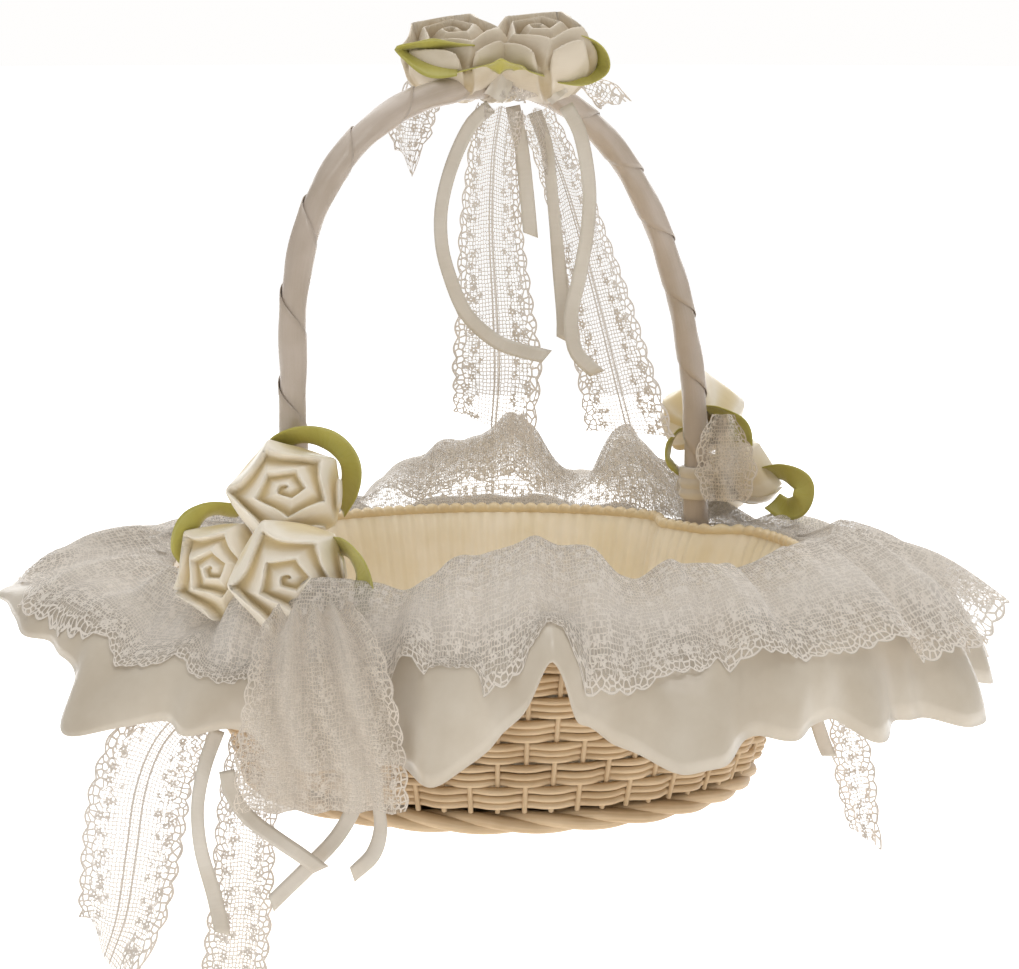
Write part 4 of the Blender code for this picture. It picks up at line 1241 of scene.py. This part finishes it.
LOOPS = (
    Loop("left_loop_top", Cluster.LEFT, (
        (-0.0080, 0.0060, 0.0578), (-0.0047, 0.0080, 0.0660), (0.0050, 0.0120, 0.0697),
        (0.0160, 0.0160, 0.0676), (0.0226, 0.0160, 0.0601), (0.0228, 0.0130, 0.0502),
        (0.0182, 0.0080, 0.0399))),
    Loop("left_loop_side", Cluster.LEFT, (
        (-0.0208, 0.0060, 0.0379), (-0.0277, 0.0080, 0.0399), (-0.0348, 0.0120, 0.0393),
        (-0.0409, 0.0140, 0.0345), (-0.0439, 0.0120, 0.0274), (-0.0420, 0.0040, 0.0200))),
    Loop("left_loop_low", Cluster.LEFT, (
        (0.0156, 0.0300, 0.0290), (0.0228, 0.0440, 0.0299), (0.0286, 0.0540, 0.0236),
        (0.0293, 0.0560, 0.0131), (0.0252, 0.0500, 0.0027), (0.0180, 0.0360, -0.0032)), 50.0),
    Loop("right_loop_near", Cluster.RIGHT, (
        (-0.0041, -0.0120, 0.0449), (-0.0086, -0.0100, 0.0434), (-0.0119, -0.0060, 0.0377),
        (-0.0124, -0.0040, 0.0326), (-0.0086, -0.0080, 0.0276)), 20.0),
    Loop("right_loop_top", Cluster.RIGHT, (
        (0.0037, -0.0100, 0.0536), (0.0113, -0.0040, 0.0527), (0.0177, 0.0000, 0.0479),
        (0.0207, 0.0020, 0.0406), (0.0209, 0.0000, 0.0315))),
    Loop("right_loop_side", Cluster.RIGHT, (
        (0.0289, 0.0000, 0.0270), (0.0381, 0.0120, 0.0284), (0.0455, 0.0180, 0.0245),
        (0.0443, 0.0180, 0.0161), (0.0389, 0.0100, 0.0126), (0.0331, 0.0040, 0.0152))),
    Loop("crown_leaf_left", Cluster.CROWN, (
        (-0.0100, 0.0180, 0.0160), (-0.0250, 0.0205, 0.0165), (-0.0360, 0.0200, 0.0160),
        (-0.0385, 0.0190, 0.0145), (-0.0346, 0.0210, 0.0110), (-0.0265, 0.0240, 0.0067),
        (-0.0160, 0.0250, 0.0064)), 35.0),
    Loop("crown_leaf_middle", Cluster.CROWN, (
        (-0.0160, 0.0230, 0.0055), (-0.0031, 0.0240, 0.0079), (0.0060, 0.0230, 0.0080),
        (0.0110, 0.0220, 0.0060), (0.0180, 0.0210, 0.0040)), 40.0),
    Loop("crown_leaf_right", Cluster.CROWN, (
        (0.0252, 0.0060, 0.0161), (0.0333, 0.0100, 0.0174), (0.0406, 0.0110, 0.0134),
        (0.0422, 0.0110, 0.0070), (0.0353, 0.0120, 0.0034), (0.0231, 0.0160, 0.0036)), 35.0),
)


@dataclass
class Trims:
    """Roses, ribbon loops and ties on the legs and on the crown."""

    size: Measures
    rose_satin: bpy.types.Material
    shaded_crown_satin: bpy.types.Material
    green: bpy.types.Material
    cream: bpy.types.Material
    tie_length: float = 0.014
    tie_height: float = 0.016
    tie_gap: float = 0.0012

    def anchor(self, cluster: Cluster) -> Array:
        """What a cluster's places are counted from."""
        if cluster is Cluster.LEFT:
            return self.size.left_leg()
        if cluster is Cluster.RIGHT:
            return self.size.right_leg()
        return np.zeros(3)

    def build(self) -> None:
        """Build every rose, loop and tie."""
        for rose in ROSES:
            # The crown roses take a darker copy of the rose satin: painted shade, as they stand
            # nearest the key light.
            satin = self.shaded_crown_satin if rose.cluster is Cluster.CROWN else self.rose_satin
            rose.build(self.anchor(rose.cluster), satin)
        for loop in LOOPS:
            loop.build(self.anchor(loop.cluster), self.green)
        half = self.tie_length / 2
        low = self.tie_height
        up = np.array((0.0, 0.0, 1.0))
        self.tie("crown_tie", np.array(((-half, 0, 0), (half, 0, 0))), np.array((0.0, 1.0, 0.0)))
        for name, leg in (("left_tie", self.size.left_leg()), ("right_tie", self.size.right_leg())):
            ends = np.array((leg + up * low, leg + up * (low + self.tie_length)))
            self.tie(name, ends, np.array((0.0, 1.0, 0.0)))

    def tie(self, name: str, ends: Array, upright: Array) -> None:
        """Wind one ribbon tie, in three narrow turns side by side."""
        line = ends[0] + (ends[1] - ends[0]) * np.linspace(0, 1, 31)[:, None]
        ridge = np.abs(np.sin(3 * math.pi * np.linspace(0, 1, 31)))
        radius = self.size.wrap_radius + self.tie_gap + 0.0007 * ridge
        mould = Mould(f"{name}_winding")
        mould.rod(line, radius, 28, upright)
        mould.piece(self.cream, "basket", "cream_satin", [name], outwards=True)


@dataclass(frozen=True)
class LaceStrip:
    """A strip of lace ribbon: where it hangs, how wide it is, and how it is folded."""

    name: str
    body: str
    stops: Sequence[Triple]
    widths: Sequence[float]
    ribbon: float
    folds: int = 4
    deepest: float = 0.004
    held: str = "hung"
    facing: float = 0.0
    slant: float = 0.012
    slot: str = "lace"
    in_cad: bool = True

    def build(self, anchor: Array, lace: bpy.types.Material) -> bpy.types.Object:
        """Hang the strip, folded lengthways where it is narrower than its ribbon."""
        count = 90
        line = smooth_line(route(self.stops, anchor), count)
        shares, given = np.linspace(0, 1, count), np.linspace(0, 1, len(self.widths))
        widths = np.interp(shares, given, self.widths)
        turn = math.radians(self.facing)
        across = spot(math.cos(turn), math.sin(turn), 0)

        def billow(u: Array, v: Array) -> Array:
            narrow = np.interp(v, shares, widths)
            spare = np.sqrt(2 * np.maximum((self.ribbon / narrow) ** 2 - 1, 0.0))
            depth = np.clip(narrow / (math.pi * self.folds) * spare, 0.0004, self.deepest)
            return depth * np.sin(self.folds * math.pi * (u + 0.10 * np.sin(5 * v)) + 0.8)

        mould = Mould(f"{self.name}_strip")
        mould.ribbon(line, across, widths, 20, billow, self.slant)
        self.lay_cloth(mould, line_length(line))
        made = mould.piece(lace, self.body, self.slot, [self.name] if self.in_cad else [])
        return made

    def lay_cloth(self, mould: Mould, length: float) -> None:
        """Turn the cloth coordinates so that the lace runs along the strip."""
        for face in mould.mesh.faces:
            for loop in face.loops:
                wide, far = loop[mould.cloth].uv
                loop[mould.cloth].uv = (far, wide / max(self.widths) * self.ribbon)
        for vert in mould.mesh.verts:
            vert[mould.edge] = vert[mould.edge] / max(self.widths) * self.ribbon


# The tied ends over the grip: name, width, width of the ribbon before it is folded, and stops.
KNOTS = (
    ("lace_left", 0.022, 0.024, (
        (0.0030, 0.0105, 0.0060), (0.0022, 0.0122, -0.0005), (0.0012, 0.0128, -0.0048))),
    ("lace_right", 0.014, 0.016, (
        (0.0115, 0.0105, 0.0055), (0.0127, 0.0122, -0.0005), (0.0138, 0.0128, -0.0048))),
    ("ribbon_left", 0.0085, 0.010, (
        (0.0032, 0.0120, 0.0055), (0.0010, 0.0134, -0.0005), (-0.0018, 0.0134, -0.0050))),
    ("ribbon_right", 0.0085, 0.010, (
        (0.0185, 0.0115, 0.0050), (0.0215, 0.0130, -0.0005), (0.0252, 0.0134, -0.0050))),
)


@dataclass
class LaceTrims:
    """The lace that falls below the left roses, the bows, and the hanging lace tails."""

    size: Measures
    lace: bpy.types.Material
    thick: bpy.types.Material
    narrow: bpy.types.Material

    def knots(self, grip: Array) -> None:
        """Lay the ends tied to the grip over its front, down to where the streamers swing."""
        for name, width, ribbon, stops in KNOTS:
            lacy = name.startswith("lace")
            look, slot = (self.lace, "lace") if lacy else (self.narrow, "ribbon")
            deepest = 0.0008 if lacy else 0.0004
            LaceStrip(
                f"crown_knot_{name}", "basket", stops, (width, width), ribbon, 3, deepest,
                "folded", slant=0.0, slot=slot, in_cad=False,
            ).build(grip, look)

    def build(self) -> None:
        """Hang every strip of lace."""
        grip = np.zeros(3)
        left, right = self.size.left_leg(), self.size.right_leg()
        fall, side = self.size.rim_point(204.0), self.size.rim_point(317.5)
        LaceStrip("lace_fall", "basket", (
            (-0.0242, 0.0194, 0.0110), (-0.0212, 0.0354, 0.0040), (-0.0192, 0.0434, -0.0080),
            (-0.0182, 0.0444, -0.0290), (-0.0182, 0.0424, -0.0480), (-0.0182, 0.0404, -0.0630)),
            (0.030, 0.044, 0.054, 0.061, 0.065, 0.066), 0.082, 9, 0.0036, "gathered",
            slant=0.0).build(fall, self.thick)
        LaceStrip("right_lace_bow", "basket", (
            (0.0120, 0.0170, 0.0170), (0.0120, 0.0160, 0.0290), (0.0110, 0.0135, 0.0410),
            (0.0110, 0.0110, 0.0545)), (0.020, 0.028, 0.024, 0.010), 0.034, 4, 0.0030, "folded",
            slant=0.0).build(right, self.thick)
        LaceStrip("crown_lace_left", "basket", (
            (-0.020, -0.014, 0.0020), (-0.030, -0.016, -0.004), (-0.036, -0.018, -0.016),
            (-0.038, -0.018, -0.034)), (0.008, 0.018, 0.020, 0.006), 0.026, 3, 0.0030,
            "folded").build(grip, self.lace)
        LaceStrip("crown_lace_right", "basket", (
            (0.034, 0.002, 0.0010), (0.041, 0.000, -0.002), (0.048, -0.002, -0.008)),
            (0.008, 0.014, 0.012), 0.018, 3, 0.0030, "folded").build(grip, self.lace)
        LaceStrip("crown_tail_left", "crown_streamers", (
            (0.0010, 0.0125, -0.0088), (-0.0020, 0.0060, -0.0300), (-0.0030, 0, -0.0600),
            (-0.0015, 0, -0.0900), (-0.0005, 0, -0.1180), (-0.0020, 0, -0.1420)),
            (0.020, 0.022, 0.027, 0.032, 0.038, 0.035), 0.040,
            deepest=0.0025).build(grip, self.lace)
        LaceStrip("crown_tail_right", "crown_streamers", (
            (0.0145, 0.0125, -0.0100), (0.0250, 0.0030, -0.0350), (0.0330, -0.004, -0.0600),
            (0.0410, -0.004, -0.0900), (0.0480, -0.004, -0.1180), (0.0550, -0.004, -0.1450)),
            (0.014, 0.018, 0.022, 0.028, 0.032, 0.036), 0.040,
            deepest=0.0025).build(grip, self.lace)
        self.knots(grip)
        LaceStrip("left_tail_outer", "left_streamers", (
            (-0.0427, 0.0217, -0.0390), (-0.0527, 0.0237, -0.0510), (-0.0597, 0.0247, -0.0690),
            (-0.0637, 0.0257, -0.0940), (-0.0677, 0.0267, -0.1190), (-0.0737, 0.0277, -0.1370)),
            (0.034, 0.038, 0.041, 0.040, 0.036, 0.026), 0.042, slant=0.03).build(left, self.lace)
        LaceStrip("left_tail_inner", "left_streamers", (
            (-0.0137, 0.0357, -0.0450), (-0.0167, 0.0362, -0.0690), (-0.0187, 0.0367, -0.0940),
            (-0.0207, 0.0377, -0.1190), (-0.0247, 0.0387, -0.1540)),
            (0.020, 0.024, 0.025, 0.026, 0.026),
            0.030, slant=0.0).build(left, self.lace)
        LaceStrip("right_tail", "right_streamers", (
            (0.0116, -0.0002, -0.0410), (0.0146, -0.0002, -0.0690), (0.0186, -0.0002, -0.0930),
            (0.0232, -0.0002, -0.1180)), (0.012, 0.016, 0.018, 0.012), 0.020).build(side, self.lace)


# Each narrow ribbon: its group of streamers, how far it is twisted, and stops counted from the
# joint that the group swings on.
RIBBONS = {
    "crown_ribbon_left": ("crown_streamers", 25.0, (
        (-0.0030, 0.0056, 0.0016), (-0.0110, 0.0055, -0.0060), (-0.0185, 0.0060, -0.0215),
        (-0.0230, 0.0060, -0.0390), (-0.0230, 0.0060, -0.0546), (-0.0195, 0.0060, -0.0685),
        (-0.0137, 0.0060, -0.0821), (-0.0054, 0.0060, -0.0910), (0.0040, 0.0060, -0.0966),
        (0.0200, 0.0060, -0.1007))),
    "crown_ribbon_middle": ("crown_streamers", 15.0, (
        (0.0060, -0.0005, 0.0014), (0.0095, -0.0010, -0.0150), (0.0115, -0.0010, -0.0320),
        (0.0133, -0.0010, -0.0514))),
    "crown_ribbon_right": ("crown_streamers", -20.0, (
        (0.0275, 0.0062, 0.0020), (0.0335, 0.0065, -0.0100), (0.0370, 0.0065, -0.0300),
        (0.0366, 0.0065, -0.0473), (0.0332, 0.0065, -0.0679), (0.0299, 0.0065, -0.0833),
        (0.0310, 0.0070, -0.0960), (0.0345, 0.0075, -0.1020), (0.0407, 0.0080, -0.1075))),
    "crown_ribbon_inner": ("crown_streamers", 40.0, (
        (0.0150, -0.0005, -0.0010), (0.0200, -0.0010, -0.0163), (0.0229, -0.0010, -0.0421),
        (0.0249, -0.0010, -0.0627), (0.0268, -0.0010, -0.0833), (0.0268, -0.0010, -0.0946))),
    "left_ribbon_outer": ("left_streamers", 30.0, (
        (-0.0030, 0.0015, -0.0270), (-0.0080, 0.0025, -0.0410), (-0.0110, 0.0025, -0.0570),
        (-0.0100, 0.0025, -0.0740), (-0.0050, 0.0025, -0.0930), (-0.0020, 0.0025, -0.1080))),
    "left_ribbon_cross": ("left_streamers", -15.0, (
        (0.0010, 0.0105, -0.0410), (0.0030, 0.0110, -0.0500), (0.0090, 0.0115, -0.0590),
        (0.0190, 0.0115, -0.0670), (0.0290, 0.0115, -0.0740), (0.0370, 0.0115, -0.0800))),
    "left_ribbon_back": ("left_streamers", 10.0, (
        (0.0530, 0.0025, -0.0410), (0.0505, 0.0025, -0.0550), (0.0430, 0.0025, -0.0690),
        (0.0320, 0.0025, -0.0810), (0.0220, 0.0025, -0.0910), (0.0170, 0.0025, -0.0960))),
    "left_ribbon_inner": ("left_streamers", 35.0, (
        (0.0570, 0.0105, -0.0390), (0.0590, 0.0110, -0.0530), (0.0600, 0.0115, -0.0640),
        (0.0570, 0.0115, -0.0740), (0.0490, 0.0115, -0.0820))),
    "right_ribbon": ("right_streamers", 30.0, (
        (-0.0132, 0.0042, -0.0200), (-0.0107, 0.0042, -0.0290), (-0.0082, 0.0042, -0.0380),
        (-0.0052, 0.0042, -0.0470), (-0.0022, 0.0042, -0.0560), (0.0003, 0.0042, -0.0620))),
}


@dataclass
class Streamers:
    """The narrow satin ribbons, which hang free."""

    satin: bpy.types.Material
    width: float = 0.006
    cloth: float = 0.0003

    def build(self) -> None:
        """Hang every ribbon as a limp flat cord."""
        for name, (body, twist, stops) in RIBBONS.items():
            anchor = joint_place(f"{body}_swing")
            line = smooth_line(route(stops, anchor), 41)
            shares = np.linspace(0, 1, len(line))
            turn = np.radians(twist) * np.sin(shares * 3.4 + 0.3)
            ahead = unit(np.gradient(line, axis=0))
            side = unit(np.cross(spot(0, 1, 0), ahead))
            front = np.cross(ahead, side)
            across = np.cos(turn)[:, None] * side + np.sin(turn)[:, None] * front
            mould = Mould(f"{name}_satin")
            mould.ribbon(line, across, self.width, 4, slant=0.003)
            made = mould.piece(self.satin, body, "ribbon", [name], thickness=self.cloth)


@dataclass
class Studio:
    """The camera, the soft lights, the floor and the backdrop."""

    azimuth: float = -45.0
    elevation: float = 9.0
    distance: float = 1.5
    lens: float = 127.5
    aim: Triple = (0.0021, -0.0045, -0.1655)
    floor_z: float = -0.3640
    floor_radius: float = 9.0
    surround: float = 0.32

    def build(self) -> None:
        """Set up the camera first, then everything round the basket."""
        turn, rise = math.radians(self.azimuth), math.radians(self.elevation)
        flat = math.cos(rise)
        away = Vector((math.sin(turn) * flat, -math.cos(turn) * flat, math.sin(rise)))
        eye = bpy.data.objects.new("camera", bpy.data.cameras.new("camera"))
        eye.location = Vector(self.aim) + away * self.distance
        eye.rotation_euler = away.to_track_quat("Z", "Y").to_euler()
        eye.data.lens = self.lens
        eye.data.clip_end = 20.0
        bpy.context.scene.collection.objects.link(eye)
        bpy.context.scene.camera = eye
        bpy.context.scene.view_settings.view_transform = "Standard"
        self.light("back_light", -away, 1.5, 0.8, 22.0, 2.2)
        self.light("key_light", Vector((-0.2, -1.0, 1.1)), 1.6, 0.0, 3.4, 0.45)
        self.light("top_light", Vector((0.1, 0.1, 1.0)), 1.2, 0.0, 9.0, 1.3)
        self.light("fill_light", Vector((-1.0, -0.1, 0.5)), 1.6, 0.0, 1.6, 1.4)
        self.floor()
        self.backdrop()

    def light(
        self, name: str, towards: Vector, away: float, lift: float, watts: float, size: float
    ) -> None:
        """Add a soft square light, aimed at the basket.

        Args:
            name: its name.
            towards: the way to it from the point that the camera looks at.
            away: its distance along that way.
            lift: how much higher than that it stands.
            watts: its power.
            size: the length of its side.
        """
        lamp = bpy.data.objects.new(name, bpy.data.lights.new(name, "AREA"))
        lamp.data.energy = watts
        lamp.data.size = size
        lamp.location = Vector(self.aim) + towards.normalized() * away + Vector((0, 0, lift))
        aim = lamp.location - Vector(self.aim)
        lamp.rotation_euler = aim.to_track_quat("Z", "Y").to_euler()
        bpy.context.scene.collection.objects.link(lamp)

    def floor(self) -> None:
        """A wide round floor of pale paper."""
        made, tree, shader = new_material("studio_paper")
        place = tree.add("ShaderNodeTexCoord").outputs["Object"]
        fibre = tree.noise(place, 600.0, 2.0)
        colour = tree.blend(fibre, (0.86, 0.86, 0.86), (0.9, 0.9, 0.9))
        tree.feed(shader.inputs["Base Color"], colour)
        shader.inputs["Roughness"].default_value = 0.9
        shader.inputs["Emission Color"].default_value = (1.0, 0.99, 0.985, 1.0)
        shader.inputs["Emission Strength"].default_value = 0.78
        shape = bmesh.new()
        bmesh.ops.create_circle(shape, cap_ends=True, segments=96, radius=self.floor_radius)
        bmesh.ops.translate(shape, verts=shape.verts, vec=(0, 0, self.floor_z))
        data = bpy.data.meshes.new("studio_floor")
        shape.to_mesh(data)
        shape.free()
        data.materials.append(made)
        sheet = bpy.data.objects.new("studio_floor", data)
        bpy.context.scene.collection.objects.link(sheet)

    def backdrop(self) -> None:
        """A bright white backdrop, which lights the basket less strongly than it looks."""
        world = bpy.data.worlds.new("studio")
        world.use_nodes = True
        tree = Tree(world.node_tree)
        shown = tree.add("ShaderNodeLightPath").outputs["Is Camera Ray"]
        strength = tree.calc("MULTIPLY_ADD", shown, 1.0 - self.surround, self.surround)
        background = world.node_tree.nodes["Background"]
        background.inputs["Color"].default_value = (1.0, 0.99, 0.98, 1.0)
        tree.feed(background.inputs["Strength"], strength)
        bpy.context.scene.world = world


SATINS = (
    Satin("cream_satin", (0.66, 0.585, 0.475), (0.57, 0.49, 0.38), 0.22),
    # The creased satins paint shade in the valleys between a rose's wraps.
    Satin("rose_satin", (0.88, 0.80, 0.66), (0.74, 0.60, 0.34), 0.3, shade_in_valleys=True),
    # A much lighter copy of the cream satin for the lining: painted light inside the bowl, where it
    # lies in shade.
    Satin("lining_satin_painted_light", (0.93, 0.83, 0.66), (0.84, 0.72, 0.50)),
    Satin("hem_satin", (0.80, 0.66, 0.42), (0.66, 0.50, 0.28)),
    Satin("handle_ribbon", (0.53, 0.445, 0.37), (0.44, 0.36, 0.28), 0.28),
    # A darker copy of the rose satin for the crown roses: painted shade.
    Satin("shaded_crown_satin", (0.66, 0.57, 0.44), (0.46, 0.36, 0.22), 0.3, shade_in_valleys=True),
    Satin("green_satin", (0.56, 0.51, 0.13), (0.40, 0.36, 0.07), 0.30),
    Satin("ribbon", (0.70, 0.64, 0.55), (0.60, 0.53, 0.43), 0.25),
)
LACES = (
    Lace("lace", (0.65, 0.585, 0.515), middle=0.0190),
    Lace("gathered_lace", (0.62, 0.545, 0.455), 0.88, 0.1),
    Lace("flounce_lace", (0.70, 0.635, 0.555), 0.80, 0.1),
)
WOODS = (
    Willow("wicker", (0.66, 0.50, 0.315), (0.46, 0.31, 0.165)),
    Willow("reed", (0.60, 0.48, 0.33), (0.44, 0.32, 0.19), along_rod=False),
)


def main() -> None:
    """Build the studio, the cords and then every other part of the basket."""
    logging.basicConfig(level=logging.INFO, format="%(name)s: %(message)s")
    size = Measures.of_frame()
    Studio().build()
    threads, floral = threads_group(), lace_group()
    cream, petals, inside, gold, wound, crown, green, narrow = (
        satin.material(threads) for satin in SATINS
    )
    white, thick, flounce = (lace.material(floral) for lace in LACES)
    willow, reed = (wood.material() for wood in WOODS)
    Streamers(narrow).build()
    Flounces(size, cream, flounce).build()
    LaceTrims(size, white, thick, narrow).build()
    Trims(size, petals, crown, green, cream).build()
    Pouch(size, inside, gold).build()
    Handle(size, wound).build()
    WickerBowl(size, willow, reed).build()


if __name__ == "__main__":
    main()
